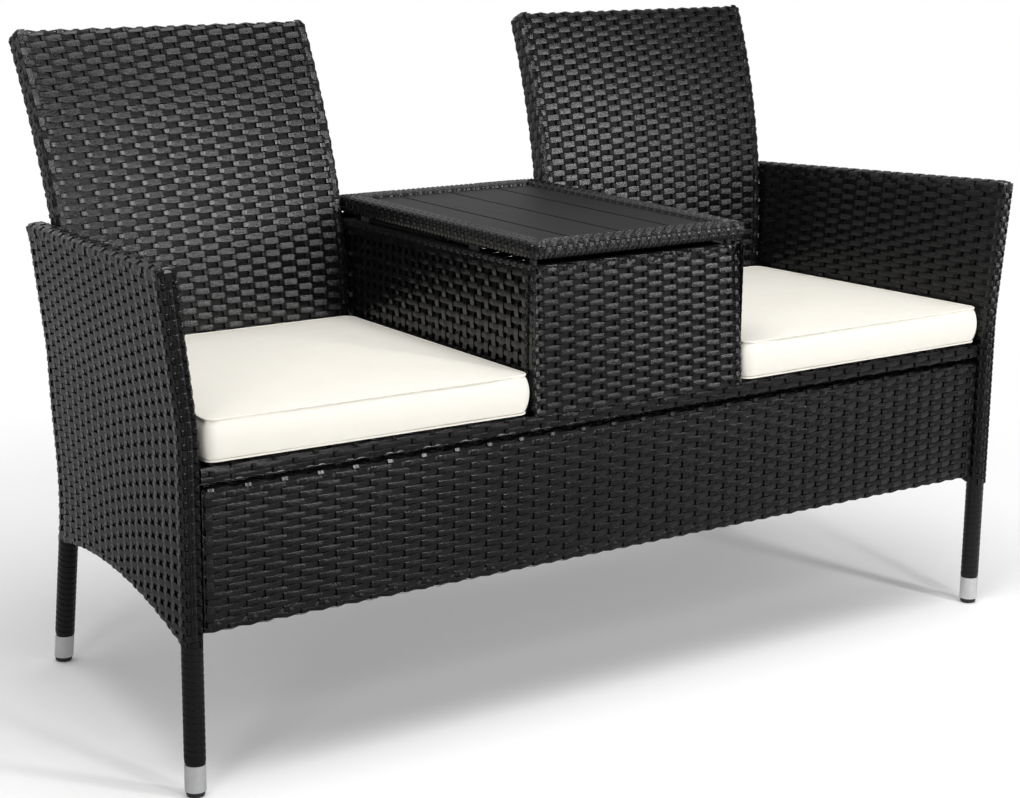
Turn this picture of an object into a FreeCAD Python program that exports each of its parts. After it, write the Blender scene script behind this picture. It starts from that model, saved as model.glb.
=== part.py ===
import FreeCAD
import Part
import Sketcher
import math
import os
import re

# Garden bench in woven plastic rattan on a steel tube frame: two seats with a lidded storage box between
# them. X runs to the right, Y to the back and Z up, from the middle of the footprint on the floor.

doc = FreeCAD.newDocument("garden_bench")
sheet = doc.addObject("Spreadsheet::Sheet", "sizes")

# Driving dimensions, in millimetres and degrees.
SIZES = {
    # clearances and skins
    "fit_gap": 0.3,
    "face_gap": 0.1,
    "seat_gap": 2.0,
    "skin_wall": 1.7,
    "trim_margin": 40,
    # side frames
    "front_leg_x": 630,
    "front_leg_y": 270,
    "toe_angle": 6.2,
    "leg_spread": 500,
    "leg_tube": 22,
    "tube_wall": 1.2,
    "bend_height": 432,
    "bend_radius": 400,
    "flare_angle": 6.6,
    "knee_height": 245,
    "knee_forward": 58,
    "knee_radius": 270,
    "rear_post_forward": 22,
    "post_foot_drop": 32,
    "arm_front_height": 621,
    "arm_drop": 22,
    "arm_round": 9,
    "side_thickness": 26,
    "arch_end_height": 180,
    "arch_mid_height": 205,
    "arch_rod": 12,
    "side_rail_tube": 18,
    # feet
    "glide_height": 7,
    "glide_round": 3,
    "sleeve_height": 32,
    "sleeve_wall": 1.4,
    "wrap_thickness": 1.2,
    # seat
    "deck_height": 389,
    "deck_thickness": 4,
    "front_face_y": 274,
    "band_height": 20,
    "band_depth": 20,
    "cross_bar_tube": 16,
    "cross_bar_pitch": 185,
    "rear_rail_tube": 22,
    # apron
    "apron_gap": 5,
    "apron_height": 172,
    "apron_depth": 20,
    "apron_stile_pitch": 380,
    # backs
    "overall_height": 838,
    "back_front_y": 149,
    "back_upright_height": 380,
    "back_radius": 1060,
    "back_thickness": 28,
    "back_inner_x": 182,
    "back_top_outer_x": 596,
    "back_corner_round": 14,
    "back_tube": 20,
    "back_mid_rail_height": 610,
    "bolt_shank": 6,
    "bolt_head": 11,
    "bolt_head_height": 4,
    "bolt_inset": 75,
    "bolt_reach": 12,
    "rail_overhang": 5,
    # storage box
    "box_half_width": 166,
    "box_front_low_y": 284,
    "box_front_high_y": 270,
    "box_front_height": 188,
    "box_side_drop": 5,
    "box_rear_y": 191,
    "box_panel": 5,
    "box_post": 14,
    "box_rail_width": 10,
    "bumper_radius": 5,
    # lid
    "lid_half_width": 166,
    "lid_front_y": 279,
    "lid_rear_y": 196,
    "lid_clearance": 8,
    "lid_thickness": 19,
    "rim_width": 30,
    "slat_pitch": 80,
    "slat_gap": 3.5,
    "slat_thickness": 8,
    "slat_recess": 6,
    "batten_width": 30,
    "batten_pitch": 159,
    "screw_shank": 4,
    "screw_head": 8,
    "screw_head_height": 2,
    "screw_bite": 8,
    # hinges
    "hinge_behind": 4.5,
    "hinge_below_lid": 4,
    "hinge_x": 100,
    "hinge_length": 60,
    "hinge_screw_spacing": 30,
    "knuckle_radius": 4.2,
    "hinge_pin": 5,
    "pin_clearance": 0.1,
    "leaf_thickness": 2,
    "leaf_drop": 34,
    "leaf_rise": 21,
    # gas struts
    "strut_x": 142,
    "strut_box_forward": 58,
    "strut_box_below": 8,
    "strut_lid_forward": 320,
    "strut_lid_below": 5,
    "strut_body": 14,
    "strut_body_length": 186,
    "strut_rod": 6,
    "strut_rod_length": 160,
    "strut_eye": 12,
    "strut_eye_width": 8,
    "strut_pin": 6,
    "bracket_thickness": 2.5,
    "bracket_width": 20,
    # cushions
    "cushion_height": 56,
    "cushion_corner": 26,
    "cushion_edge": 12,
    "cover_wall": 2.5,
}

for row, (name, value) in enumerate(SIZES.items(), start=1):
    sheet.set(f"A{row}", name)
    sheet.set(f"B{row}", str(value))
    sheet.setAlias(f"B{row}", name)
doc.recompute()


# Heights that follow from those dimensions.
HEIGHTS = {
    "arm_rear_height": "(arm_front_height - arm_drop)",
    "post_foot_height": "(bend_height - post_foot_drop)",
    "apron_high": "(deck_height - band_height - apron_gap)",
    "apron_low": "(apron_high - apron_height)",
    "box_front_top": "(deck_height + box_front_height)",
    "box_side_top": "(box_front_top - box_side_drop)",
    "lid_bottom": "(box_front_top + lid_clearance)",
    "lid_top": "(lid_bottom + lid_thickness)",
    "hinge_height": "(lid_bottom - hinge_below_lid)",
}


def formula(text):
    """Spells out each height in a formula and takes each size from its cell of the sheet."""
    def spelled(word):
        if word[0] in HEIGHTS:
            return formula(HEIGHTS[word[0]])
        return f"sizes.{word[0]}" if word[0] in SIZES else word[0]
    return re.sub(r"[a-z_]\w*", spelled, text)


def at(x, y, z, axis="0; 0; 1", angle="0"):
    """A place as a formula: a point, then a turn about an axis through it."""
    return f"placement(vector({x}; {y}; {z}); rotation(vector({axis}); {angle}))"


# Turns that lay a sketch out: its first axis along Y and its second up, or its first along X and second up.
FACING_SIDE = at("0", "0", "0", "1; 1; 1", "120")
FACING_FRONT = at("0", "0", "0", "1; 0; 0", "90")
ALONG_X = at("0", "0", "0", "0; 1; 0", "90")

# How far a direction and a place may be off, to pick the edges of a form.
SKEW = 0.02
NEAR = 1.0


def placed(piece, *steps):
    """Puts a piece where its chain of places says, or leaves it at the origin."""
    if steps:
        piece.setExpression("Placement", formula(" * ".join(steps)))
    return piece


def box(name, low, size):
    """A block from its lowest corner."""
    piece = doc.addObject("Part::Box", name)
    for side, text in zip(("Length", "Width", "Height"), size):
        piece.setExpression(side, formula(text))
    return placed(piece, at(*low))


def rod(name, radius, length, *steps):
    """A round bar that starts at its place and runs along its own Z."""
    piece = doc.addObject("Part::Cylinder", name)
    piece.setExpression("Radius", formula(radius))
    piece.setExpression("Height", formula(length))
    return placed(piece, *steps)


def ring(name, radius, section, sweep, *steps):
    """A bar bent to a round arc, which starts on its own X axis."""
    piece = doc.addObject("Part::Torus", name)
    piece.setExpression("Radius1", formula(radius))
    piece.setExpression("Radius2", formula(section))
    piece.setExpression("Angle3", formula(sweep))
    return placed(piece, *steps)


def cut(name, base, tool):
    piece = doc.addObject("Part::Cut", name)
    piece.Base = base
    piece.Tool = tool
    return piece


def common(name, first, second):
    piece = doc.addObject("Part::Common", name)
    piece.Base = first
    piece.Tool = second
    return piece


def fuse(name, *pieces):
    piece = doc.addObject("Part::MultiFuse", name)
    piece.Shapes = list(pieces)
    piece.Refine = True
    return piece


def group(name, pieces):
    """Separate solids that share one node."""
    piece = doc.addObject("Part::Compound", name)
    piece.Links = list(pieces)
    return piece


def mirrored(name, source):
    """The same piece on the other side of the bench's middle."""
    piece = doc.addObject("Part::Mirroring", name)
    piece.Source = source
    piece.Normal = FreeCAD.Vector(1, 0, 0)
    return piece


def rounded(name, base, radius, wanted):
    """Rounds the edges that the test picks."""
    doc.recompute()
    piece = doc.addObject("Part::Fillet", name)
    piece.Base = base
    edges = enumerate(base.Shape.Edges, start=1)
    piece.Edges = [(number, radius, radius) for number, edge in edges if wanted(edge)]
    return piece


def runs_along(edge, axis):
    """Whether an edge starts out along an axis."""
    return edge.tangentAt(edge.FirstParameter).cross(FreeCAD.Vector(*axis)).Length < SKEW


def tube(name, diameter, length, *steps):
    """A steel tube of the frame's wall."""
    outside = rod(f"{name}_outside", f"{diameter} / 2", length)
    bore = rod(f"{name}_bore", f"{diameter} / 2 - tube_wall", f"{length} + 2 * trim_margin",
               at("0", "0", "-trim_margin"))
    return placed(cut(name, outside, bore), *steps)


def polygon(name, points):
    """A closed sketch of straight sides, each corner held at its own two distances from the middle."""
    sketch = doc.addObject("Sketcher::SketchObject", name)
    count = len(points)
    start = [FreeCAD.Vector(math.cos(turn), math.sin(turn)) for turn in
             (math.tau * step / count for step in range(count + 1))]
    for first, second in zip(start, start[1:]):
        sketch.addGeometry(Part.LineSegment(first, second))
    for side in range(count):
        sketch.addConstraint(Sketcher.Constraint("Coincident", side, 2, (side + 1) % count, 1))
    for side, corner in enumerate(points):
        for kind, text in zip(("DistanceX", "DistanceY"), corner):
            index = sketch.addConstraint(Sketcher.Constraint(kind, -1, 1, side, 1, 1.0))
            sketch.setExpression(f"Constraints[{index}]", formula(text))
    return sketch


def prism(name, points, length, *steps):
    """A straight-sided outline drawn out to a length along its own Z."""
    piece = doc.addObject("Part::Extrusion", name)
    piece.Base = polygon(f"{name}_outline", points)
    piece.DirMode = "Normal"
    piece.Solid = True
    piece.setExpression("LengthFwd", formula(length))
    return placed(piece, *steps)


def degrees(angle):
    """An angle that a formula works out, as a plain number."""
    return f"({angle} / 1 deg)"


def bent_tube(name, start, bend, end, radius, *steps):
    """A leg tube bent once towards +X: its line runs from start towards the bend point and on to the end.

    Points are given along X and up. What would reach below the glides is cut off level."""
    lean = [degrees(f"atan(({to[0]} - ({fro[0]})) / ({to[1]} - ({fro[1]})))")
            for fro, to in ((start, bend), (bend, end))]
    turn = f"({lean[1]} - {lean[0]})"
    tangent = f"({radius} * tan({turn} / 2))"
    runs = [f"(({to[1]} - ({fro[1]})) / cos({angle}) - {tangent})"
            for (fro, to), angle in zip(((start, bend), (bend, end)), lean)]
    elbow_x = f"({bend[0]} - {tangent} * sin({lean[0]}) + {radius} * cos({lean[0]}))"
    elbow_z = f"({bend[1]} - {tangent} * cos({lean[0]}) - {radius} * sin({lean[0]}))"
    past_x = f"({bend[0]} + {tangent} * sin({lean[1]}))"
    past_z = f"({bend[1]} + {tangent} * cos({lean[1]}))"

    def solid(part, section):
        lower = rod(f"{name}_{part}_lower", section, runs[0], at(start[0], "0", start[1], "0; 1; 0", lean[0]))
        elbow = ring(f"{name}_{part}_elbow", radius, section, turn,
                     at(elbow_x, "0", elbow_z, "0; 1; 0", lean[0]), at("0", "0", "0", "0; 1; 1", "180"))
        upper = rod(f"{name}_{part}_upper", section, runs[1], at(past_x, "0", past_z, "0; 1; 0", lean[1]))
        return fuse(f"{name}_{part}", lower, elbow, upper)

    whole = cut(f"{name}_whole", solid("outside", "leg_tube / 2"), solid("bore", "leg_tube / 2 - tube_wall"))
    floor_cut = box(f"{name}_floor_cut", ("-leg_spread", "-leg_spread", "-leg_spread"),
                    ("3 * leg_spread", "2 * leg_spread", "leg_spread + glide_height"))
    return placed(cut(name, whole, floor_cut), *steps)


parts = []


def keep(piece, label):
    """Marks a finished sub-part and gives it its name."""
    piece.Label = label
    parts.append(piece)
    return piece


def keep_pair(piece, label):
    """A right-hand sub-part and its left-hand twin."""
    keep(piece, f"right_{label}")
    return keep(mirrored(f"left_{label}", piece), f"left_{label}")


# Side frames: each stands in a plane that toes in towards the back, and leans outward above the bend.
SIDE = at("front_leg_x", "-front_leg_y", "0", "0; 0; 1", "toe_angle")
FLARED = at("0", "0", "bend_height", "0; 1; 0", "flare_angle")
half_side = "side_thickness / 2"
leg_radius = "leg_tube / 2"
knee_u = "(leg_spread - knee_forward)"
post_u = "(leg_spread - rear_post_forward)"
arm_fall = f"((arm_front_height - arm_rear_height) / ({post_u} + side_thickness))"
rail_drop = f"(skin_wall + fit_gap + {leg_radius})"


def rail_height(depth):
    """Height of the arm rail's axis above the bend, along the leaning post, at a depth behind the front."""
    top = f"arm_front_height - ({depth} + {half_side}) * {arm_fall}"
    return f"(({top} - {rail_drop} - bend_height) / cos(flare_angle))"


rail_slope = degrees(f"atan({arm_fall})")
under_rail = f"({leg_radius} * (1 / cos({rail_slope}) + tan({rail_slope})) + fit_gap)"


def leaning_end(depth):
    """Where a post ends under the arm rail, out from the foot of the side and up."""
    length = f"({rail_height(depth)} - {under_rail})"
    return f"{length} * sin(flare_angle)", f"bend_height + {length} * cos(flare_angle)"


front_leg = bent_tube("front_leg_tube", ("0", "0"), ("0", "bend_height"), leaning_end("0"),
                      "bend_radius", SIDE)
keep_pair(front_leg, "front_leg")

rear_leg = bent_tube("rear_leg_tube", ("leg_spread", "0"), (knee_u, "knee_height"),
                     (post_u, "post_foot_height"), "knee_radius", SIDE, at("0", "0", "0", "0; 0; 1", "90"))
keep_pair(rear_leg, "rear_leg")

rear_run = f"(({post_u} - {knee_u}) / (post_foot_height - knee_height))"
post_start = f"(post_foot_height + {leg_radius} * {rear_run} + fit_gap)"
rear_post = bent_tube("rear_arm_post_tube", ("0", post_start), ("0", "bend_height"), leaning_end(post_u),
                      "bend_radius", SIDE, at("0", post_u, "0"))
keep_pair(rear_post, "rear_arm_post")

rail_start = f"({leg_radius} * tan({rail_slope}) - {leg_radius})"
arm_rail = tube("arm_rail_tube", "leg_tube", f"({post_u} - 2 * {rail_start})",
                SIDE, FLARED, at("0", rail_start, rail_height(rail_start), "1; 0; 0", f"-90 - {rail_slope}"))
keep_pair(arm_rail, "arm_rail")

side_rail_height = "(deck_height - deck_thickness - side_rail_tube / 2)"
leg_front_room = f"({leg_radius} * sqrt(1 + {rear_run} ^ 2) + side_rail_tube / 2 * {rear_run} + fit_gap)"
side_rail_end = f"({post_u} - (post_foot_height - {side_rail_height}) * {rear_run} - {leg_front_room})"
side_rail = tube("side_rail_tube", "side_rail_tube", f"({side_rail_end} - {leg_radius} - fit_gap)",
                 SIDE, at("0", f"{leg_radius} + fit_gap", side_rail_height, "1; 0; 0", "-90"))
keep_pair(side_rail, "seat_side_rail")

# The woven skin of a side: a bent band trimmed to the side's outline, with an arched lower edge.
arch_low_u = f"({knee_u} + knee_forward * (knee_height - arch_end_height) / knee_height)"
arch_middle_u = f"(({arch_low_u}) / 2)"
arch_rise = "(arch_mid_height - arch_end_height)"
arch_radius = f"(({arch_middle_u} ^ 2 + {arch_rise} ^ 2) / (2 * {arch_rise}))"
rear_lean = degrees("atan(knee_forward / knee_height)")
trim_depth = "(4 * trim_margin)"


def side_body(name, inset):
    """The side's outer form, or the hollow in it when inset by the skin's wall."""
    half = f"({half_side} - {inset})"
    low = "(arch_end_height - trim_margin)"
    high = "(arm_front_height + trim_margin)"
    bend_shift = f"{half} * tan(flare_angle / 2)"
    lean = f"({high} - bend_height) * tan(flare_angle)"
    band = prism(
        f"{name}_band",
        [(f"-{half}", low), (half, low), (half, f"bend_height - {bend_shift}"),
         (f"{half} / cos(flare_angle) + {lean}", high), (f"-{half} / cos(flare_angle) + {lean}", high),
         (f"-{half}", f"bend_height + {bend_shift}")],
        "leg_spread + 2 * trim_margin",
        at("0", "leg_spread + trim_margin", "0"), FACING_FRONT)
    band = rounded(f"{name}_bent_band", band, sheet.get("bend_radius"), is_bend)
    behind = f"{half} / cos({rear_lean})"
    outline = prism(
        f"{name}_outline",
        [(f"-{half}", low),
         (f"{knee_u} + knee_forward * (knee_height - {low}) / knee_height + {behind}", low),
         (f"{knee_u} + {behind}", "knee_height"),
         (f"{post_u} + {half}", f"post_foot_height - {half} * {rear_run} / 2"),
         (f"{post_u} + {half}", f"arm_rear_height - {inset}"),
         (f"-{half}", f"arm_front_height - {inset}")],
        trim_depth, at(f"-{trim_depth} / 2", "0", "0"), FACING_SIDE)
    outline = rounded(f"{name}_curved_outline", outline, sheet.get("knee_radius"), is_knee)
    trimmed = common(f"{name}_trimmed", band, outline)
    arch = rod(f"{name}_arch", f"{arch_radius} + {inset}", trim_depth,
               at(f"-{trim_depth} / 2", arch_middle_u, f"arch_mid_height - {arch_radius}"), ALONG_X)
    return cut(name, trimmed, arch)


def is_bend(edge):
    """Long edges at the height where the side starts to lean."""
    near = abs(edge.CenterOfMass.z - sheet.get("bend_height")) < sheet.get("side_thickness")
    return near and edge.Length > sheet.get("leg_spread")


def is_knee(edge):
    """The edge across the side at the rear leg's knee."""
    return runs_along(edge, (1, 0, 0)) and abs(edge.CenterOfMass.z - sheet.get("knee_height")) < NEAR


def is_arm_top(edge):
    """The two long edges along the top of the arm."""
    at_top = edge.CenterOfMass.z > sheet.get("arm_front_height") - sheet.get("arm_drop")
    return at_top and edge.Length > sheet.get("leg_spread") / 2


side_form = rounded("side_form", side_body("side_outer", "0"), sheet.get("arm_round"), is_arm_top)
side_shell = cut("side_shell", side_form, side_body("side_hollow", "skin_wall"))
front_hole = rod("front_leg_hole", f"{leg_radius} + fit_gap", "knee_height", at("0", "0", "0"))
rear_hole = rod("rear_leg_hole", f"{leg_radius} + fit_gap", "knee_height",
                at("0", "leg_spread", "0", "1; 0; 0", rear_lean))
side_weave = placed(cut("side_weave", cut("side_front_hole", side_shell, front_hole), rear_hole), SIDE)
keep_pair(side_weave, "side_weave")

arch_rod_radius = f"({arch_radius} + skin_wall + fit_gap + arch_rod / 2)"
arch_half_angle = degrees(f"asin(({arch_middle_u} - leg_tube - {leg_radius}) / {arch_rod_radius})")
arch_rod = ring("arch_rod_bar", arch_rod_radius, "arch_rod / 2", f"2 * {arch_half_angle}",
                SIDE, at("0", arch_middle_u, f"arch_mid_height - {arch_radius}"), FACING_SIDE,
                at("0", "0", "0", "0; 0; 1", f"90 - {arch_half_angle}"))
keep_pair(arch_rod, "arch_rod")

# Feet: a wound strip on each bare leg, an aluminium sleeve round its end and a domed glide under it.
rear_foot = at("0", "leg_spread", "0", "1; 0; 0", rear_lean)
leg_places = {"front": at("0", "0", "0"), "rear": rear_foot}
sleeve_top = "(glide_height + sleeve_height)"


def leg_ring(name, place, inner, wall, low, high):
    """A thin sleeve round a leg between two heights."""
    outside = rod(f"{name}_outside", f"{inner} + {wall}", f"{high} + leg_tube", place)
    bore = rod(f"{name}_bore", inner, f"{high} + 2 * leg_tube", place)
    wall_ring = cut(f"{name}_ring", outside, bore)
    slab = box(f"{name}_slab", ("-leg_spread", "-leg_spread", low),
               ("2 * leg_spread", "3 * leg_spread", f"{high} - {low}"))
    return placed(common(name, wall_ring, slab), SIDE)


def for_each_leg(name, make):
    """The right-hand front and rear piece and their left-hand twins, as one node."""
    right = [make(f"{end}_{name}", place) for end, place in leg_places.items()]
    return keep(group(name, right + [mirrored(f"{piece.Name}_left", piece) for piece in right]), name)


wrap_top = f"(arch_end_height - {leg_radius})"
for_each_leg("leg_wraps", lambda name, place: leg_ring(
    name, place, f"({leg_radius} + fit_gap / 2)", "wrap_thickness", sleeve_top, wrap_top))
for_each_leg("foot_sleeves", lambda name, place: leg_ring(
    name, place, f"({leg_radius} + fit_gap / 2)", "sleeve_wall", "glide_height", sleeve_top))


def glide(name, place):
    """A glide with a flat underside and a rounded rim, at the foot of a leg."""
    where = at("0", "0", "0") if place == leg_places["front"] else at("0", "leg_spread", "0")
    puck = rod(f"{name}_puck", leg_radius, "glide_height")
    return placed(rounded(name, puck, sheet.get("glide_round"), lambda edge: edge.CenterOfMass.z < NEAR),
                  SIDE, where)


for_each_leg("foot_glides", glide)


# Seat: a wrapped front rail, a rear rail, bars between them and a woven deck under each cushion.
def inner_face_x(depth, gap):
    """How far from the middle a piece may reach to stay clear of the side's inner face at a depth."""
    return (f"(front_leg_x - ({half_side} + {gap}) / cos(toe_angle)"
            f" - ({depth} + front_leg_y) * tan(toe_angle))")


def wrapped_bar(name, half_width, front, depth, low, high):
    """A long woven sleeve across the bench, hollow for the tubes in it."""
    outside = box(f"{name}_outside", (f"-{half_width}", front, low),
                  (f"2 * {half_width}", depth, f"{high} - {low}"))
    hollow = box(f"{name}_hollow",
                 (f"-{half_width} + skin_wall", f"{front} + skin_wall", f"{low} + skin_wall"),
                 (f"2 * {half_width} - 2 * skin_wall", f"{depth} - 2 * skin_wall",
                  f"{high} - {low} - 2 * skin_wall"))
    return cut(name, outside, hollow)


def cross_tube(name, diameter, half_length, y, z):
    """A tube along X, centred on the bench."""
    return tube(name, diameter, f"(2 * {half_length})", at(f"-{half_length}", y, z), ALONG_X)


front_reach = inner_face_x("-front_face_y + band_depth", "fit_gap")
band_low = "(deck_height - band_height)"
keep(wrapped_bar("seat_band", front_reach, "-front_face_y", "band_depth", band_low, "deck_height"),
     "seat_front_band")
band_tube = "(band_depth - 2 * skin_wall - 2 * fit_gap)"
keep(cross_tube("seat_front_tube", band_tube, f"({front_reach} - skin_wall - fit_gap)",
                "-front_face_y + band_depth / 2", "deck_height - band_height / 2"), "seat_front_rail")

deck_front = "(-front_face_y + band_depth + fit_gap)"
deck_rear = "(back_front_y - seat_gap)"
deck_low = "(deck_height - deck_thickness)"
deck_inner = "(box_half_width + seat_gap)"
right_deck = prism("deck_plate",
                   [(deck_inner, deck_front), (inner_face_x(deck_front, "seat_gap"), deck_front),
                    (inner_face_x(deck_rear, "seat_gap"), deck_rear), (deck_inner, deck_rear)],
                   "deck_thickness", at("0", "0", deck_low))
keep_pair(right_deck, "seat_deck")

rear_rail_y = "(back_front_y + back_thickness / 2)"
rear_rail_z = f"({deck_low} - fit_gap - rear_rail_tube / 2)"
rear_rail_reach = inner_face_x(f"{rear_rail_y} + rear_rail_tube / 2", "fit_gap")
bar_start = "(-front_face_y + band_depth + fit_gap)"
bar_end = f"({rear_rail_y} - rear_rail_tube / 2 - fit_gap)"
cross_bars = [
    tube(f"cross_bar_{number_of}", "cross_bar_tube", f"({bar_end} - {bar_start})",
         at(f"{number_of} * cross_bar_pitch", bar_start, f"{deck_low} - fit_gap - cross_bar_tube / 2",
            "1; 0; 0", "-90"))
    for number_of in range(-2, 3)]
keep(group("cross_bars", cross_bars), "seat_cross_bars")

# Apron: a hollow woven panel under the seat, on two tubes and three uprights.
keep(wrapped_bar("apron", front_reach, "-front_face_y", "apron_depth", "apron_low", "apron_high"),
     "apron_weave")
apron_tube = "(apron_depth - 2 * skin_wall - 2 * fit_gap)"
apron_edge = f"(skin_wall + fit_gap + {apron_tube} / 2)"
apron_y = "(-front_face_y + apron_depth / 2)"
apron_rail_reach = f"({front_reach} - skin_wall - fit_gap)"
apron_levels = {"low": f"apron_low + {apron_edge}", "high": f"apron_high - {apron_edge}"}
apron_rails = [cross_tube(f"apron_{level}_tube", apron_tube, apron_rail_reach, apron_y, height)
               for level, height in apron_levels.items()]
keep(group("apron_tubes", apron_rails), "apron_rails")
stile_low = f"(apron_low + {apron_edge} + {apron_tube} / 2 + fit_gap)"
stile_high = f"(apron_high - {apron_edge} - {apron_tube} / 2 - fit_gap)"
apron_stiles = [tube(f"apron_stile_{number_of}", apron_tube, f"({stile_high} - {stile_low})",
                     at(f"{number_of} * apron_stile_pitch", apron_y, stile_low))
                for number_of in range(-1, 2)]
keep(group("apron_uprights", apron_stiles), "apron_stiles")

# Backs: a curved woven skin round two bent stiles and three rails, bolted to the seat's rear rail.
back_bottom = deck_low
curve_y = "(back_front_y + back_radius)"
curve_z = "back_upright_height"
top_run = "(overall_height - back_upright_height)"
back_reach = f"(back_radius - sqrt(back_radius ^ 2 - {top_run} ^ 2) + 2 * back_thickness)"
back_rear_radius = "(back_radius - back_thickness)"


def back_rear_y(height):
    """Depth of the back's rear face at a height."""
    return f"({curve_y} - sqrt({back_rear_radius} ^ 2 - ({height} - {curve_z}) ^ 2))"


arm_lean = "((arm_rear_height - bend_height) * tan(flare_angle))"
back_low_outer = inner_face_x(back_rear_y("bend_height"), "fit_gap")
back_arm_outer = f"({inner_face_x(back_rear_y('arm_rear_height'), 'seat_gap')} + {arm_lean})"


def back_body(name, inset):
    """The back's outer form, or the hollow in it when inset by the skin's wall."""
    front = rod(f"{name}_front", f"back_radius - {inset}", "back_top_outer_x",
                at("back_inner_x / 2", curve_y, curve_z), ALONG_X)
    rear = rod(f"{name}_rear", f"{back_rear_radius} + {inset}", "2 * back_top_outer_x",
               at("0", curve_y, curve_z), ALONG_X)
    outline = prism(
        f"{name}_front_view",
        [(f"back_inner_x + {inset}", f"{back_bottom} + {inset}"),
         (f"{back_low_outer} - {inset}", f"{back_bottom} + {inset}"),
         (f"{back_low_outer} - {inset}", "bend_height"),
         (f"{back_arm_outer} - {inset}", "arm_rear_height"),
         (f"back_top_outer_x - {inset}", f"overall_height - {inset}"),
         (f"back_inner_x + {inset}", f"overall_height - {inset}")],
        f"{back_reach} + 2 * trim_margin",
        at("0", f"back_front_y + {back_reach} + trim_margin", "0"), FACING_FRONT)
    outline = rounded(f"{name}_round_view", outline, sheet.get("back_corner_round"), is_back_corner)
    return common(name, cut(f"{name}_curve", front, rear), outline)


def is_back_corner(edge):
    """Edges from front to back at the two top corners."""
    near_top = edge.CenterOfMass.z > sheet.get("overall_height") - sheet.get("trim_margin")
    return near_top and runs_along(edge, (0, 1, 0))


bolt_x = ("back_inner_x + bolt_inset", f"{back_low_outer} - bolt_inset")
bolt_hole = "(bolt_shank / 2 + pin_clearance)"
rail_bottom = f"({rear_rail_z} - rear_rail_tube / 2)"
bolt_top = f"({back_bottom} + skin_wall + fit_gap + bolt_reach)"


def bolt_holes(name):
    """Clearance holes for the bolts of the right-hand back."""
    return [rod(f"{name}_{index}", bolt_hole, f"{bolt_top} - {rail_bottom} + trim_margin",
                at(x, rear_rail_y, f"{rail_bottom} - trim_margin + fit_gap"))
            for index, x in enumerate(bolt_x)]


def without(name, base, tools):
    """A piece with several holes cut in it."""
    return cut(name, base, group(f"{name}_tools", tools))


back_shell = cut("back_shell", back_body("back_outer", "0"), back_body("back_hollow", "skin_wall"))
keep_pair(without("back_weave", back_shell, bolt_holes("back_weave_hole")), "back_weave")

stile_arc = "(back_radius - back_thickness / 2)"
rail_inset = "(skin_wall + fit_gap + back_tube / 2)"
top_rail_z = f"(overall_height - {rail_inset} - back_corner_round / 2)"
stile_foot = f"({back_bottom} + skin_wall + fit_gap)"
stile_start = degrees(f"asin(({stile_foot} - {curve_z}) / {stile_arc})")
under_top_rail = f"((back_tube / 2 + fit_gap) / {stile_arc} * 180 / pi)"
stile_end = f"({degrees(f'asin(({top_rail_z} - {curve_z}) / {stile_arc})')} - {under_top_rail})"
stile_x = (f"(back_inner_x + {rail_inset})", f"({back_low_outer} - {rail_inset})")


def stile(name, x):
    """A tube bent to the back's curve."""
    steps = (at(x, curve_y, curve_z), FACING_SIDE, at("0", "0", "0", "0; 0; 1", f"180 - {stile_end}"))
    outside = ring(f"{name}_outside", stile_arc, "back_tube / 2", f"{stile_end} - {stile_start}", *steps)
    bore = ring(f"{name}_bore", stile_arc, "back_tube / 2 - tube_wall", f"{stile_end} - {stile_start}", *steps)
    return cut(name, outside, bore)


keep_pair(group("back_stile_tubes", [stile(f"back_stile_{index}", x) for index, x in enumerate(stile_x)]),
          "back_stiles")


def back_rail(name, z, from_x, to_x):
    """A straight tube across the back at a height, in the middle of its thickness."""
    y = f"({curve_y} - sqrt({stile_arc} ^ 2 - ({z} - {curve_z}) ^ 2))"
    return tube(name, "back_tube", f"({to_x} - {from_x})", at(from_x, y, z), ALONG_X)


between = (f"({stile_x[0]} + back_tube / 2 + fit_gap)", f"({stile_x[1]} - back_tube / 2 - fit_gap)")
over = (f"({stile_x[0]} - rail_overhang)", f"({stile_x[1]} + rail_overhang)")
low_rail = without("back_low_rail", back_rail("back_low_tube", f"({back_bottom} + {rail_inset})", *between),
                   bolt_holes("back_low_hole"))
back_rails = [low_rail, back_rail("back_mid_rail", "back_mid_rail_height", *between),
              back_rail("back_top_rail", top_rail_z, *over)]
keep_pair(group("back_rail_tubes", back_rails), "back_rails")

rear_rail = cross_tube("rear_rail_tube_bar", "rear_rail_tube", rear_rail_reach, rear_rail_y, rear_rail_z)
right_holes = bolt_holes("rear_rail_hole")
left_holes = [mirrored(f"rear_rail_left_hole_{index}", hole) for index, hole in enumerate(right_holes)]
keep(without("rear_rail", rear_rail, right_holes + left_holes), "seat_rear_rail")


def bolt(name, x):
    """A bolt from below, with its head under the seat's rear rail."""
    shank = rod(f"{name}_shank", "bolt_shank / 2", f"{bolt_top} - {rail_bottom} - fit_gap",
                at(x, rear_rail_y, rail_bottom))
    head = rod(f"{name}_head", "bolt_head / 2", "bolt_head_height",
               at(x, rear_rail_y, f"{rail_bottom} - bolt_head_height"))
    return fuse(name, shank, head)


right_bolts = [bolt(f"back_bolt_{index}", x) for index, x in enumerate(bolt_x)]
keep(group("bolts", right_bolts + [mirrored(f"{piece.Name}_left", piece) for piece in right_bolts]),
     "back_bolts")

# Storage box: woven panels on corner posts and top rails, open at the top, with a floor at deck height.
box_low = "(deck_height + fit_gap)"
front_lean = "((box_front_low_y - box_front_high_y) / (box_front_top - deck_height))"


def front_y(height, behind):
    """Depth of a plane that leans with the box's front, some way behind its face."""
    return f"(-box_front_low_y + {behind} + ({height} - deck_height) * {front_lean})"


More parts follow.
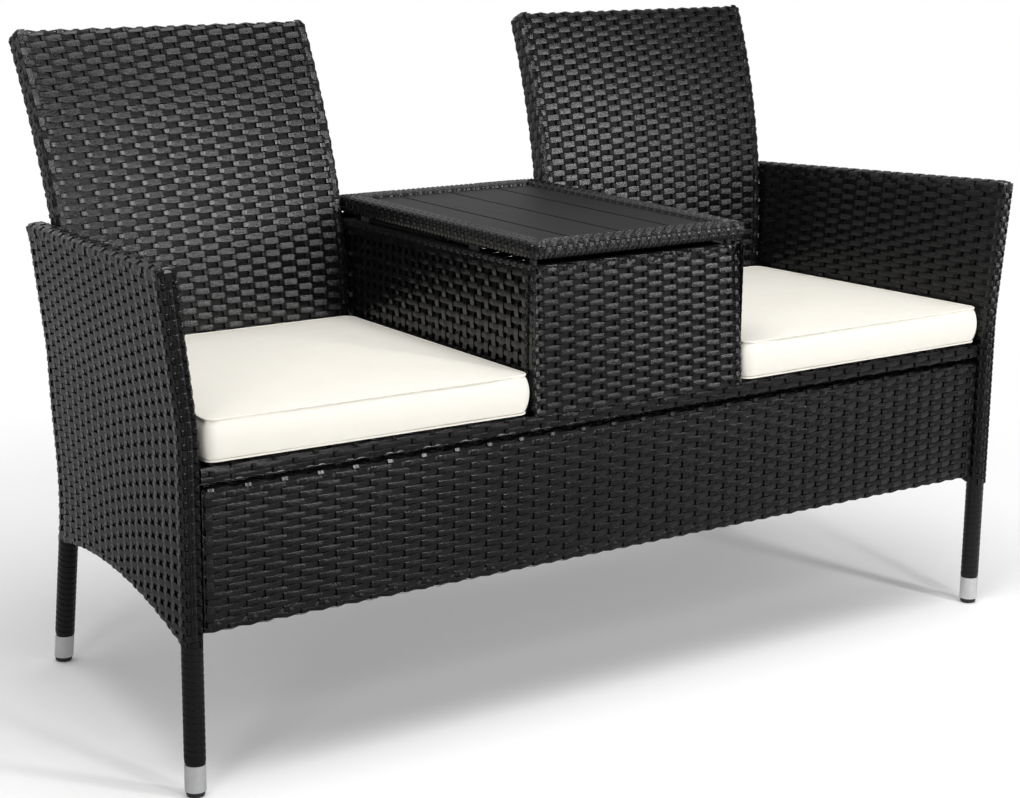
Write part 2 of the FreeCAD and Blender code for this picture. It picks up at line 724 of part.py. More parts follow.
panel_x = "(box_half_width - box_panel)"
front_panel = prism("box_front_plate",
                    [(front_y(box_low, "0"), box_low), (front_y("box_front_top", "0"), "box_front_top"),
                     (front_y("box_front_top", "box_panel"), "box_front_top"),
                     (front_y(box_low, "box_panel"), box_low)],
                    "2 * box_half_width", at("-box_half_width", "0", "0"), FACING_SIDE)
keep(front_panel, "box_front_weave")

behind_front = "(box_panel + fit_gap)"
box_back_face = "(box_rear_y - box_panel)"
side_panel = prism("box_side_plate",
                   [(front_y(box_low, behind_front), box_low),
                    (front_y("box_side_top", behind_front), "box_side_top"),
                    (f"{box_back_face} - fit_gap", "box_side_top"), (f"{box_back_face} - fit_gap", box_low)],
                   "box_panel", at(panel_x, "0", "0"), FACING_SIDE)
keep_pair(side_panel, "box_side_weave")

post_inner_x = f"({panel_x} - fit_gap - box_post)"
post_behind = f"({behind_front} + box_post)"
front_post = prism("box_front_post",
                   [(front_y(box_low, behind_front), box_low),
                    (front_y("box_side_top", behind_front), "box_side_top"),
                    (front_y("box_side_top", post_behind), "box_side_top"),
                    (front_y(box_low, post_behind), box_low)],
                   "box_post", at(post_inner_x, "0", "0"), FACING_SIDE)
rear_post_y = f"({box_back_face} - fit_gap - box_post)"
rear_post_bar = box("box_rear_post", (post_inner_x, rear_post_y, box_low),
                    ("box_post", "box_post", f"box_side_top - {box_low}"))
box_posts = [front_post, rear_post_bar]
box_posts += [mirrored(f"{piece.Name}_left", piece) for piece in box_posts]
keep(group("box_corner_posts", box_posts), "box_posts")

rail_low = "(box_side_top - box_post)"
side_rail_x = f"({panel_x} - fit_gap - box_rail_width)"
rail_front_y = f"({front_y('box_side_top', post_behind)} + fit_gap)"
side_top_rail = box("box_side_rail", (side_rail_x, rail_front_y, rail_low),
                    ("box_rail_width", f"{rear_post_y} - fit_gap - {rail_front_y}", "box_post"))
front_rail_half = f"({post_inner_x} - fit_gap)"
front_rail_y = f"({front_y('box_side_top', behind_front)})"
front_top_rail = box("box_front_rail", (f"-{front_rail_half}", front_rail_y, rail_low),
                     (f"2 * {front_rail_half}", "box_rail_width", "box_post"))
rear_top_rail = box("box_rear_rail_bar",
                    (f"-{front_rail_half}", f"{box_back_face} - fit_gap - box_rail_width", rail_low),
                    (f"2 * {front_rail_half}", "box_rail_width", "box_post"))

# Hinges: two butt hinges on the back of the box, each with a leaf on the box, a leaf on the lid and a pin.
hinge_y = "(lid_rear_y + hinge_behind)"
hinge_axis_x = "(hinge_x - hinge_length / 2)"
knuckle = "(hinge_length / 3)"
hinge_screw_x = ("hinge_x - hinge_screw_spacing / 2", "hinge_x + hinge_screw_spacing / 2")
screw_z = f"({rail_low} + box_post / 2)"
lid_screw_z = "((lid_bottom + lid_top) / 2)"
leaf_y = "(box_rear_y + fit_gap)"
lid_leaf_y = "(lid_rear_y + face_gap)"


def screw(name, x, y, z, length):
    """A round-headed screw that points forward from its head."""
    shank = rod(f"{name}_shank", "screw_shank / 2", length, at(x, y, z, "1; 0; 0", "90"))
    head = rod(f"{name}_head", "screw_head / 2", "screw_head_height", at(x, y, z, "1; 0; 0", "-90"))
    return fuse(name, shank, head)


def screw_hole(name, x, y, z, length):
    """The clearance hole for such a screw."""
    return rod(name, "screw_shank / 2 + pin_clearance", f"{length} + trim_margin",
               at(x, f"{y} + trim_margin", z, "1; 0; 0", "90"))


def both_sides(name, make):
    """Two pieces of the right-hand hinge and their twins on the left-hand one."""
    right = [make(f"{name}_{index}", x) for index, x in enumerate(hinge_screw_x)]
    return right + [mirrored(f"{piece.Name}_left", piece) for piece in right]


box_screw_y = f"({leaf_y} + leaf_thickness)"
box_screw_length = "(leaf_thickness + fit_gap + box_panel + screw_bite)"
lid_screw_y = f"({lid_leaf_y} + leaf_thickness)"
lid_screw_length = "(leaf_thickness + screw_bite)"
box_screws = both_sides("box_hinge_screw",
                        lambda name, x: screw(name, x, box_screw_y, screw_z, box_screw_length))
lid_screws = both_sides("lid_hinge_screw",
                        lambda name, x: screw(name, x, lid_screw_y, lid_screw_z, lid_screw_length))


def box_screw_holes(name):
    return both_sides(name, lambda part, x: screw_hole(part, x, box_screw_y, screw_z,
                                                       f"{box_screw_length} + fit_gap"))


def lid_screw_holes(name):
    return both_sides(name, lambda part, x: screw_hole(part, x, lid_screw_y, lid_screw_z,
                                                       f"{lid_screw_length} + fit_gap"))


keep(group("hinge_box_screw_set", box_screws), "hinge_box_screws")
rear_rail_bored = without("box_rear_rail", rear_top_rail, box_screw_holes("box_rail_hole"))
box_rails = [side_top_rail, mirrored("box_side_rail_left", side_top_rail), front_top_rail, rear_rail_bored]
keep(group("box_top_rails", box_rails), "box_rails")

back_plate = box("box_back_plate", ("-box_half_width", box_back_face, box_low),
                 ("2 * box_half_width", "box_panel", f"box_side_top - {box_low}"))
keep(without("box_back", back_plate, box_screw_holes("box_back_hole")), "box_back_weave")
floor_half = f"({deck_inner} - fit_gap)"
keep(box("box_floor_plate", (f"-{floor_half}", deck_front, deck_low),
         (f"2 * {floor_half}", f"box_rear_y - {deck_front}", "deck_thickness")),
     "box_floor")

bumper = rod("lid_bumper", "bumper_radius", "lid_bottom - box_side_top - fit_gap",
             at(f"{post_inner_x} + box_post / 2",
                f"({front_y('box_side_top', behind_front)} + box_post / 2)", "box_side_top"))
keep(group("bumpers", [bumper, mirrored("lid_bumper_left", bumper)]), "lid_bumpers")


def hinge_leaf(name, plate, web, starts, holes):
    """A flat leaf, the web that carries its knuckles, and the knuckles bored for the pin."""
    knuckles = [rod(f"{name}_knuckle_{index}", "knuckle_radius", f"{knuckle} - fit_gap",
                    at(start, hinge_y, "hinge_height"), ALONG_X) for index, start in enumerate(starts)]
    solid = fuse(f"{name}_solid", plate, *web, *knuckles)
    bore = rod(f"{name}_bore", "hinge_pin / 2 + pin_clearance", "2 * hinge_length",
               at(f"{hinge_axis_x} - hinge_length / 2", hinge_y, "hinge_height"), ALONG_X)
    return without(name, solid, [bore] + holes)


web_low = "(hinge_height - leaf_thickness / 2)"
box_plate = box("box_leaf_plate", (hinge_axis_x, leaf_y, "hinge_height - leaf_drop"),
                ("hinge_length", "leaf_thickness", "leaf_drop - knuckle_radius"))
mid_start = f"({hinge_axis_x} + {knuckle} + fit_gap / 2)"
mid_length = f"({knuckle} - fit_gap)"
box_web = [box("box_leaf_riser", (mid_start, leaf_y, "hinge_height - leaf_drop"),
               (mid_length, "leaf_thickness", "leaf_drop + leaf_thickness / 2")),
           box("box_leaf_web", (mid_start, leaf_y, web_low),
               (mid_length, f"{hinge_y} - {leaf_y}", "leaf_thickness"))]
right_box_screw_holes = [screw_hole(f"box_leaf_hole_{index}", x, box_screw_y, screw_z, box_screw_length)
                         for index, x in enumerate(hinge_screw_x)]
box_leaf = hinge_leaf("box_leaf", box_plate, box_web, [mid_start], right_box_screw_holes)
keep(group("box_leaves", [box_leaf, mirrored("box_leaf_left", box_leaf)]), "hinge_box_leaves")

end_starts = [hinge_axis_x, f"({hinge_axis_x} + 2 * {knuckle} + fit_gap)"]
lid_plate = box("lid_leaf_plate", (hinge_axis_x, lid_leaf_y, "hinge_height + knuckle_radius + fit_gap"),
                ("hinge_length", "leaf_thickness", "leaf_rise - knuckle_radius"))
lid_web = [box(f"lid_leaf_web_{index}", (start, lid_leaf_y, "hinge_height"),
               (f"{knuckle} - fit_gap", "leaf_thickness", "leaf_rise"))
           for index, start in enumerate(end_starts)]
right_lid_screw_holes = [screw_hole(f"lid_leaf_hole_{index}", x, lid_screw_y, lid_screw_z, lid_screw_length)
                         for index, x in enumerate(hinge_screw_x)]
lid_leaf = hinge_leaf("lid_leaf", lid_plate, lid_web, end_starts, right_lid_screw_holes)
keep(group("lid_leaves", [lid_leaf, mirrored("lid_leaf_left", lid_leaf)]), "hinge_lid_leaves")

pin = rod("hinge_pin_bar", "hinge_pin / 2", "hinge_length", at(hinge_axis_x, hinge_y, "hinge_height"), ALONG_X)
keep(group("pins", [pin, mirrored("hinge_pin_left", pin)]), "hinge_pins")


# Lid: a steel frame in a woven rim, with slats let into it on steel battens.
def lid_ring(name, outer, inner, low, high):
    """A rectangular ring, set in from the lid's outer edge by two distances."""
    def slab(part, inset, bottom, top):
        return box(f"{name}_{part}", (f"-lid_half_width + {inset}", f"-lid_front_y + {inset}", bottom),
                   (f"2 * lid_half_width - 2 * ({inset})", f"lid_front_y + lid_rear_y - 2 * ({inset})",
                    f"{top} - ({bottom})"))
    return cut(name, slab("outer", outer, low, high),
               slab("inner", inner, f"{low} - trim_margin", f"{high} + trim_margin"))


rim = lid_ring("rim_ring", "0", "rim_width", "lid_bottom", "lid_top")
rim_hollow = lid_ring("rim_hollow", "skin_wall", "rim_width - skin_wall",
                      "lid_bottom + skin_wall", "lid_top - skin_wall")
rim_shell = cut("rim_shell", rim, rim_hollow)
keep(without("rim", rim_shell, lid_screw_holes("rim_hole")), "lid_rim_weave")
frame_gap = "(skin_wall + fit_gap)"
lid_frame = lid_ring("frame_ring", frame_gap, f"rim_width - {frame_gap}",
                     f"lid_bottom + {frame_gap}", f"lid_top - {frame_gap}")
bore_gap = f"({frame_gap} + tube_wall)"
lid_frame = cut("frame_tubes", lid_frame, lid_ring("frame_bore", bore_gap, f"rim_width - {bore_gap}",
                                                  f"lid_bottom + {bore_gap}", f"lid_top - {bore_gap}"))
keep(without("lid_frame_bars", lid_frame, lid_screw_holes("frame_hole")), "lid_frame")

slat_top = "(lid_top - slat_recess)"
slat_low = f"({slat_top} - slat_thickness)"
opening_half = "(lid_half_width - rim_width - fit_gap)"
opening_front = "(-lid_front_y + rim_width + fit_gap)"
opening_rear = "(lid_rear_y - rim_width - fit_gap)"
opening_middle = f"(({opening_front} + {opening_rear}) / 2)"
gap_lines = [f"({place} * slat_pitch)" for place in (-1, 0, 1)]
slat_lefts = [f"(-{opening_half})"] + [f"({line} + slat_gap / 2)" for line in gap_lines]
slat_rights = [f"({line} - slat_gap / 2)" for line in gap_lines] + [opening_half]
slat_edges = list(zip(slat_lefts, slat_rights))
batten_y = [f"({opening_middle} + {row} * batten_pitch)" for row in (-1, 0, 1)]
slat_screws = [(f"(({left} + {right}) / 2)", y) for left, right in slat_edges for y in batten_y]
screw_run = f"({slat_top} - lid_bottom - slat_thickness / 2)"
batten_top = f"({slat_low} - fit_gap)"


def slat_holes(name):
    """Clearance holes for the screws that come up through the battens."""
    return [rod(f"{name}_{index}", "screw_shank / 2 + pin_clearance", screw_run, at(x, y, "lid_bottom"))
            for index, (x, y) in enumerate(slat_screws)]


slat_boards = [box(f"slat_{index}", (left, opening_front, slat_low),
                   (f"{right} - {left}", f"{opening_rear} - {opening_front}", "slat_thickness"))
               for index, (left, right) in enumerate(slat_edges)]
rows = len(batten_y)
bored_slats = [without(f"slat_bored_{index}", board, slat_holes(f"slat_{index}_hole")[rows * index:][:rows])
               for index, board in enumerate(slat_boards)]
keep(group("slats", bored_slats), "lid_slats")
battens = [box(f"batten_{row}", (f"-{opening_half}", f"{y} - batten_width / 2", "lid_bottom"),
               (f"2 * {opening_half}", "batten_width", f"{batten_top} - lid_bottom"))
           for row, y in enumerate(batten_y)]
bored_battens = [without(f"batten_bored_{row}", bar, slat_holes(f"batten_{row}_hole")[row::rows])
                 for row, bar in enumerate(battens)]
keep(group("batten_bars", bored_battens), "lid_battens")


def slat_screw(name, x, y):
    """A screw with its head under a batten and its point in a slat."""
    shank = rod(f"{name}_shank", "screw_shank / 2", f"{screw_run} - fit_gap", at(x, y, "lid_bottom"))
    head = rod(f"{name}_head", "screw_head / 2", "screw_head_height",
               at(x, y, "lid_bottom - screw_head_height"))
    return fuse(name, shank, head)


keep(group("lid_screw_set", lid_screws + [slat_screw(f"slat_screw_{index}", x, y)
                                          for index, (x, y) in enumerate(slat_screws)]), "lid_screws")

# Gas struts: a cylinder that turns on a stud on the box, and a rod whose eye stands beside a stud on the lid.
strut_y = f"({hinge_y} - strut_box_forward)"
strut_z = "(hinge_height - strut_box_below)"
lid_stud_y = f"({hinge_y} - strut_lid_forward)"
lid_stud_z = "(hinge_height - strut_lid_below)"
strut_length = f"sqrt(({strut_y} - {lid_stud_y}) ^ 2 + ({lid_stud_z} - {strut_z}) ^ 2)"
strut_rise = degrees(f"asin(({lid_stud_z} - {strut_z}) / {strut_length})")
STRUT = at("strut_x", strut_y, strut_z, "1; 0; 0", f"90 - {strut_rise}")


def strut_eye(name, along):
    """The eye at one end of a strut, lying across it."""
    return rod(name, "strut_eye / 2", "strut_eye_width", at("-strut_eye_width / 2", "0", along), ALONG_X)


def eye_hole(name, along):
    return rod(name, "strut_pin / 2 + pin_clearance", "2 * strut_eye_width",
               at("-strut_eye_width", "0", along), ALONG_X)


barrel = rod("strut_barrel", "strut_body / 2", "strut_body_length - strut_eye", at("0", "0", "strut_eye"))
neck = rod("strut_neck", "strut_rod / 2", "strut_eye + strut_rod")
cylinder_solid = fuse("strut_cylinder_solid", barrel, neck, strut_eye("strut_box_eye", "0"))
rod_start = f"({strut_length} - strut_rod_length)"
barrel_bore = rod("strut_barrel_bore", "strut_rod / 2 + pin_clearance",
                  "strut_body_length", at("0", "0", f"{rod_start} - fit_gap"))
cylinder_holes = [eye_hole("strut_box_hole", "0"), barrel_bore]
strut_cylinder = placed(without("strut_cylinder", cylinder_solid, cylinder_holes), STRUT)
keep_pair(strut_cylinder, "strut_cylinder")
rod_bar = rod("strut_rod_bar", "strut_rod / 2", "strut_rod_length", at("0", "0", rod_start))
rod_solid = fuse("strut_rod_solid", rod_bar, strut_eye("strut_lid_eye", strut_length))
strut_rod = placed(without("strut_rod_eye", rod_solid, [eye_hole("strut_lid_hole", strut_length)]), STRUT)
keep_pair(strut_rod, "strut_rod")

bracket_x = f"({side_rail_x} - face_gap - bracket_thickness)"
box_bracket = box("strut_box_plate", (bracket_x, f"{strut_y} - bracket_width / 2", rail_low),
                  ("bracket_thickness", "bracket_width", f"{strut_z} + strut_eye / 2 - {rail_low}"))
pin_start = "(strut_x - strut_eye_width / 2)"
box_stud_pin = rod("strut_box_pin", "strut_pin / 2", f"{bracket_x} + bracket_thickness / 2 - {pin_start}",
                   at(pin_start, strut_y, strut_z), ALONG_X)
box_stud = fuse("strut_box_stud", box_bracket, box_stud_pin)
keep(group("box_studs", [box_stud, mirrored("strut_box_stud_left", box_stud)]), "strut_box_studs")
lid_stud_x = "(strut_x + strut_eye_width / 2 + fit_gap)"
lid_stud_low = f"({lid_stud_z} - strut_eye / 2)"
lid_bracket = box("strut_lid_plate", (lid_stud_x, f"{lid_stud_y} - bracket_width / 2", lid_stud_low),
                  ("bracket_thickness", "bracket_width", f"lid_bottom - face_gap - {lid_stud_low}"))
keep(group("lid_studs", [lid_bracket, mirrored("strut_lid_stud_left", lid_bracket)]), "strut_lid_studs")

# Cushions: a sewn cover with a foam core, loose on the deck between the box and the side.
cushion_low = "(deck_height + fit_gap)"
cushion_gap = "(2 * seat_gap)"


def cushion_body(name, inset):
    """The cushion's outer form, or the hollow in it when inset by the cover."""
    front = f"(-front_face_y + {inset})"
    rear = f"(back_front_y - seat_gap - {inset})"
    inner = f"(box_half_width + {cushion_gap} + {inset})"
    reach = f"({cushion_gap} + {inset})"
    return prism(name, [(inner, front), (inner_face_x(front, reach), front),
                        (inner_face_x(rear, reach), rear), (inner, rear)],
                 f"cushion_height - 2 * ({inset})", at("0", "0", f"{cushion_low} + {inset}"))


def is_upright(edge):
    return runs_along(edge, (0, 0, 1))


def is_level(edge):
    return abs(edge.tangentAt(edge.FirstParameter).z) < SKEW


def soft_form(name, inset):
    """A cushion with rounded corners, top and underside."""
    block = cushion_body(f"{name}_block", inset)
    corners = rounded(f"{name}_corners", block, sheet.get("cushion_corner"), is_upright)
    return rounded(name, corners, sheet.get("cushion_edge"), is_level)


cushion_cover = cut("cushion_cover", soft_form("cushion_outer", "0"),
                    soft_form("cushion_inside", "cover_wall"))
keep_pair(cushion_cover, "cushion_cover")
keep_pair(soft_form("cushion_core", "(cover_wall + fit_gap)"), "cushion_foam")

doc.recompute()

# Every object has to be sound before anything is written.
faults = [item.Name for item in doc.Objects if {"Invalid", "Error"} & set(item.State)]
faults += [piece.Label for piece in parts if piece.Shape.isNull() or not piece.Shape.isValid()]
if faults:
    raise RuntimeError("unsound: " + ", ".join(faults))

os.makedirs("parts", exist_ok=True)
for piece in parts:
    piece.Shape.exportStep(f"parts/{piece.Label}.step")
print(len(parts), "sub-parts written")
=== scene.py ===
import math

import bpy
import numpy as np
from mathutils import Matrix, Vector


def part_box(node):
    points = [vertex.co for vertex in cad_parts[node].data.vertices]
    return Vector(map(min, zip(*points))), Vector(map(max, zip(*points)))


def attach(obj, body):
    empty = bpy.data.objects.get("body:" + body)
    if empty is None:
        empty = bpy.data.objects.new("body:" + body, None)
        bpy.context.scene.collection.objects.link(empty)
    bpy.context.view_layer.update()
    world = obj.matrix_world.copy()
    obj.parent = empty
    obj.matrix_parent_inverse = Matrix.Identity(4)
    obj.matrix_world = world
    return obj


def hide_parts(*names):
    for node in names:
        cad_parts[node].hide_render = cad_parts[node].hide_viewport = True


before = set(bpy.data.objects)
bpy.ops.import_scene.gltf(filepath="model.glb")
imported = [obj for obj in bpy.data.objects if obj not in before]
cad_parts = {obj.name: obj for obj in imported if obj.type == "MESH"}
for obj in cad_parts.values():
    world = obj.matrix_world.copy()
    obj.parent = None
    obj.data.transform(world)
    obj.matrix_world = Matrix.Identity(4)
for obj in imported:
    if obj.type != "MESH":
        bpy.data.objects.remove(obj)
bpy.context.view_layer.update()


# The steel frame: bent legs and arm posts, the back hoops, the seat rails and the posts of the box.
# Welded mild steel tube under a black powder coat. The tubes stay as the CAD made them and only
# take the coat, which has a fine orange peel.
def new_finish(name):
    """A material with its own shader, ready for its nodes."""
    material = bpy.data.materials.new(name)
    material.use_nodes = True
    return material, material.node_tree, material.node_tree.nodes["Principled BSDF"]


def wire(tree, kind, inputs, **settings):
    """One node with its settings, each input either linked from a socket or set to a value."""
    node = tree.nodes.new(kind)
    for key, value in settings.items():
        setattr(node, key, value)
    for key, value in inputs.items():
        if isinstance(value, bpy.types.NodeSocket):
            tree.links.new(value, node.inputs[key])
        else:
            node.inputs[key].default_value = value
    return node


def new_group(name, values, results):
    """An empty shader group with number inputs and number outputs."""
    group = bpy.data.node_groups.new(name, "ShaderNodeTree")
    for label, value in values.items():
        socket = group.interface.new_socket(label, in_out="INPUT", socket_type="NodeSocketFloat")
        socket.default_value = value
    for label in results:
        group.interface.new_socket(label, in_out="OUTPUT", socket_type="NodeSocketFloat")
    return group, group.nodes.new("NodeGroupInput").outputs, group.nodes.new("NodeGroupOutput").inputs


mottle, given, result = new_group("mottle", {"Scale": 60.0, "Grain": 900.0}, ("Tone", "Height"))
spot = mottle.nodes.new("ShaderNodeTexCoord").outputs["Object"]
clouds = wire(mottle, "ShaderNodeTexNoise", {"Vector": spot, "Scale": given["Scale"], "Detail": 4.0})
peel = wire(mottle, "ShaderNodeTexNoise", {"Vector": spot, "Scale": given["Grain"], "Detail": 2.0})
mottle.links.new(clouds.outputs["Fac"], result["Tone"])
mottle.links.new(peel.outputs["Fac"], result["Height"])


def mottled_finish(name, dark, light, rough, scale, grain, depth, metal=0.0):
    """A finish whose tone, gloss and surface vary a little, with the depth of its grain in metres."""
    material, tree, shader = new_finish(name)
    spread = wire(tree, "ShaderNodeGroup", {"Scale": scale, "Grain": grain}, node_tree=mottle)
    tone = wire(tree, "ShaderNodeMix", {0: spread.outputs["Tone"], 6: (*dark, 1), 7: (*light, 1)},
                data_type="RGBA")
    gloss = wire(tree, "ShaderNodeMapRange", {"Value": spread.outputs["Tone"], "To Min": rough[0],
                                              "To Max": rough[1]})
    bump = wire(tree, "ShaderNodeBump", {"Height": spread.outputs["Height"], "Distance": depth,
                                         "Strength": 0.6})
    tree.links.new(tone.outputs[2], shader.inputs["Base Color"])
    tree.links.new(gloss.outputs["Result"], shader.inputs["Roughness"])
    tree.links.new(bump.outputs["Normal"], shader.inputs["Normal"])
    shader.inputs["Metallic"].default_value = metal
    return material


def coat(material, *nodes):
    """Gives CAD pieces that stay as they are a better finish."""
    for name in nodes:
        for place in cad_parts[name].material_slots:
            place.material = material


powder_coat = mottled_finish("powder_coat", (0.010, 0.010, 0.010), (0.020, 0.020, 0.021), (0.40, 0.55),
                             60, 900, 0.00005)
for side in ("right", "left"):
    coat(powder_coat, *[side + part for part in ("_front_leg", "_rear_leg", "_rear_arm_post", "_arm_rail",
                                                 "_seat_side_rail", "_arch_rod", "_back_stiles",
                                                 "_back_rails")])
coat(powder_coat, "seat_front_rail", "seat_rear_rail", "seat_cross_bars", "apron_rails", "apron_stiles",
     "box_posts", "box_rails", "lid_frame", "lid_battens")


# The woven sides: a skin of flat rattan strip round each leg-and-arm frame, its rows level, its lower
# edge cut to a shallow arch, its upper half leaning outward. Extruded plastic strip, black, with
# fine grooves along it, woven over and under uprights and bound with strips along the arm and arch.
POST = (0.630, -0.270)  # the front leg on the floor, across and along the bench
TOE = math.radians(6.2)  # how far the sides draw together toward the back
LEAN = math.radians(6.6)  # how far they lean outward above the bend
BEND = (0.432, 0.400)  # the height of the bend and its radius
ARM_TOP = (0.621, 0.599)  # the arm's height in front and behind
SIDE_FRONT, SIDE_REAR = -0.013, 0.491  # the side's ends, from the front leg back
HALF_SIDE, SIDE_ROUND = 0.013, 0.006
ARCH_SPAN, ARCH_END, ARCH_CROWN = 0.4574, 0.180, 0.205
ARCH_RADIUS = (ARCH_SPAN ** 2 / 4 + (ARCH_CROWN - ARCH_END) ** 2) / (2 * (ARCH_CROWN - ARCH_END))
ARCH_CENTRE = (ARCH_SPAN / 2, ARCH_CROWN - ARCH_RADIUS)

STRIP = 0.0012  # the strip's thickness
ROUNDED = 0.0005  # how far its edges fall off
LIFT, RISE = 0.0018, 0.0014  # how far level strips and uprights swing out and in
GROOVES = 34.0  # a little over five grooves across a strip, in radians
UPRIGHT_GROOVES = 0.2  # uprights are smoother
BINDING = 0.2  # an upright's half width in a binding, as a share of the pitch

chance = np.random.default_rng(7)

rattan, tree, shader = new_finish("rattan_strip")
strip_map = wire(tree, "ShaderNodeUVMap", {}, uv_map="strip").outputs[0]
strip = wire(tree, "ShaderNodeSeparateXYZ", {"Vector": strip_map})
strand = wire(tree, "ShaderNodeAttribute", {}, attribute_name="strand").outputs["Fac"]
across = wire(tree, "ShaderNodeMath", {0: strip.outputs["Y"], 1: GROOVES}, operation="MULTIPLY").outputs[0]
ridges = wire(tree, "ShaderNodeMath", {0: across}, operation="SINE").outputs[0]
long = wire(tree, "ShaderNodeMath", {0: strip.outputs["X"], 1: 2.2}, operation="MULTIPLY").outputs[0]
wide = wire(tree, "ShaderNodeMath", {0: strip.outputs["Y"], 1: 7.0}, operation="MULTIPLY").outputs[0]
apart = wire(tree, "ShaderNodeMath", {0: strand, 1: 90.0}, operation="MULTIPLY").outputs[0]
lie = wire(tree, "ShaderNodeCombineXYZ", {"X": long, "Y": wide, "Z": apart}).outputs[0]
streaks = wire(tree, "ShaderNodeTexNoise", {"Vector": lie, "Scale": 1.0, "Detail": 3.0}).outputs["Fac"]
shade = wire(tree, "ShaderNodeMath", {0: streaks, 1: strand}, operation="MULTIPLY").outputs[0]
tone = wire(tree, "ShaderNodeMix", {0: shade, 6: (0.0012, 0.0012, 0.0015, 1),
                                    7: (0.0062, 0.0062, 0.0072, 1)}, data_type="RGBA")
gloss = wire(tree, "ShaderNodeMapRange", {"Value": streaks, "To Min": 0.19, "To Max": 0.33})
relief = wire(tree, "ShaderNodeMath", {0: ridges, 1: 0.5, 2: streaks}, operation="MULTIPLY_ADD").outputs[0]
bump = wire(tree, "ShaderNodeBump", {"Height": relief, "Distance": 0.0001, "Strength": 0.8})
tree.links.new(tone.outputs[2], shader.inputs["Base Color"])
tree.links.new(gloss.outputs["Result"], shader.inputs["Roughness"])
tree.links.new(bump.outputs["Normal"], shader.inputs["Normal"])


def ribbons(name, count, steps):
    """Flat ribbons side by side: a grid with the bands between the ribbons taken out."""
    bpy.ops.object.select_all(action="DESELECT")
    lines = 3 * count - 1
    bpy.ops.mesh.primitive_grid_add(x_subdivisions=steps, y_subdivisions=lines, size=2)
    piece = bpy.context.object
    piece.name = name
    bpy.ops.object.mode_set(mode="EDIT")
    bpy.ops.mesh.select_mode(type="FACE")
    bpy.ops.mesh.select_all(action="DESELECT")
    bpy.ops.object.mode_set(mode="OBJECT")
    middles = np.zeros(3 * len(piece.data.polygons))
    piece.data.polygons.foreach_get("center", middles)
    band = np.floor((middles[1::3] + 1) / 2 * lines).astype(int)
    piece.data.polygons.foreach_set("select", band % 3 == 2)
    bpy.ops.object.mode_set(mode="EDIT")
    bpy.ops.mesh.delete(type="FACE")
    bpy.ops.object.mode_set(mode="OBJECT")
    flat = np.zeros(3 * len(piece.data.vertices))
    piece.data.vertices.foreach_get("co", flat)
    line = np.rint((flat[1::3] + 1) / 2 * lines).astype(int)
    return piece, (flat[0::3] + 1) / 2, line // 3, line % 3 - 1.0


def lay(piece, points, length, which, side, thickness, creased=None, grooved=1.0, smooth=50):
    """Bends the ribbons into place, notes their grain and creases and gives them their thickness."""
    mesh = piece.data
    if creased is not None:
        ends = np.zeros(2 * len(mesh.edges), int)
        mesh.edges.foreach_get("vertices", ends)
        mesh.edges.foreach_set("use_edge_sharp", creased[ends[0::2]] & creased[ends[1::2]])
    mesh.vertices.foreach_set("co", np.stack(points, 1).ravel())
    corner = np.zeros(len(mesh.loops), int)
    mesh.loops.foreach_get("vertex_index", corner)
    grain = mesh.uv_layers[0]
    grain.name = "strip"
    grain.data.foreach_set("uv", np.stack([length, (side + 1) / 2 * grooved], 1)[corner].ravel())
    shades = chance.random(which.max() + 1)
    mesh.attributes.new("strand", "FLOAT", "POINT").data.foreach_set("value", shades[which])
    mesh.update()
    bpy.ops.object.mode_set(mode="EDIT")
    bpy.ops.mesh.select_all(action="SELECT")
    bpy.ops.mesh.remove_doubles(threshold=0.00002)
    bpy.ops.object.mode_set(mode="OBJECT")
    wall = piece.modifiers.new("wall", "SOLIDIFY")
    wall.thickness = thickness
    wall.offset = -1
    bpy.ops.object.modifier_apply(modifier="wall")
    bpy.ops.object.shade_smooth_by_angle(angle=math.radians(smooth))
    piece.data.materials.clear()
    piece.data.materials.append(rattan)


def join(pieces):
    """One object from several, the first one keeping its name."""
    bpy.ops.object.select_all(action="DESELECT")
    for piece in pieces:
        piece.select_set(True)
    bpy.context.view_layer.objects.active = pieces[0]
    bpy.ops.object.join()
    return pieces[0]


def weave(name, place, warps, rows, upright=0.165, fill=0.495, lift=LIFT, rise=RISE, kept=None,
          dome=0.00015):
    """Level strips woven over and under uprights; place() turns uprights, rows and height into points.

    upright and fill are half widths as shares of the pitch, kept are the rows that have a strip.
    """
    kept = np.arange(rows) if kept is None else np.array(kept)
    level, along, row, side = ribbons(name, len(kept), warps * 2)
    a, row = along * warps, kept[row]
    out = lift * np.arcsin(np.cos(np.pi * (a - 0.5 + row))) / (np.pi / 2) - ROUNDED * side ** 2
    crossing = np.abs(a - np.floor(a) - 0.5) < 0.01
    lay(level, place(a, row + 0.5 + side * fill, out), a, row, side, STRIP, crossing)
    rods, along, which, side = ribbons(name + "_uprights", warps, rows * 3)
    b = along * rows
    b = np.floor(b) + np.interp(b - np.floor(b), (0, 1 / 3, 2 / 3, 1), (0, 1 / 6, 5 / 6, 1))
    woven = (b >= kept[0]) & (b <= kept[-1] + 1)
    wave = np.clip(2 * np.cos(np.pi * (b - 0.5 + which)), -1, 1)
    out = -rise * wave * woven - dome * side ** 2
    lay(rods, place(which + 0.5 - side * upright, b, out), b / 3, which, side, STRIP,
        grooved=UPRIGHT_GROOVES, smooth=35)
    return join([level, rods])


def bent_line(arcs, radius, lead=0.0, tail=0.0):
    """Places and outward angles along a line that turns round the given arcs, by share of its length."""
    points, angles = [], []
    for centre_p, centre_q, start, end in arcs:
        for turn in np.radians(np.linspace(start, end, 9)):
            points.append((centre_p + radius * math.cos(turn), centre_q + radius * math.sin(turn)))
            angles.append(turn)
    return line_through(points, angles, lead, tail)


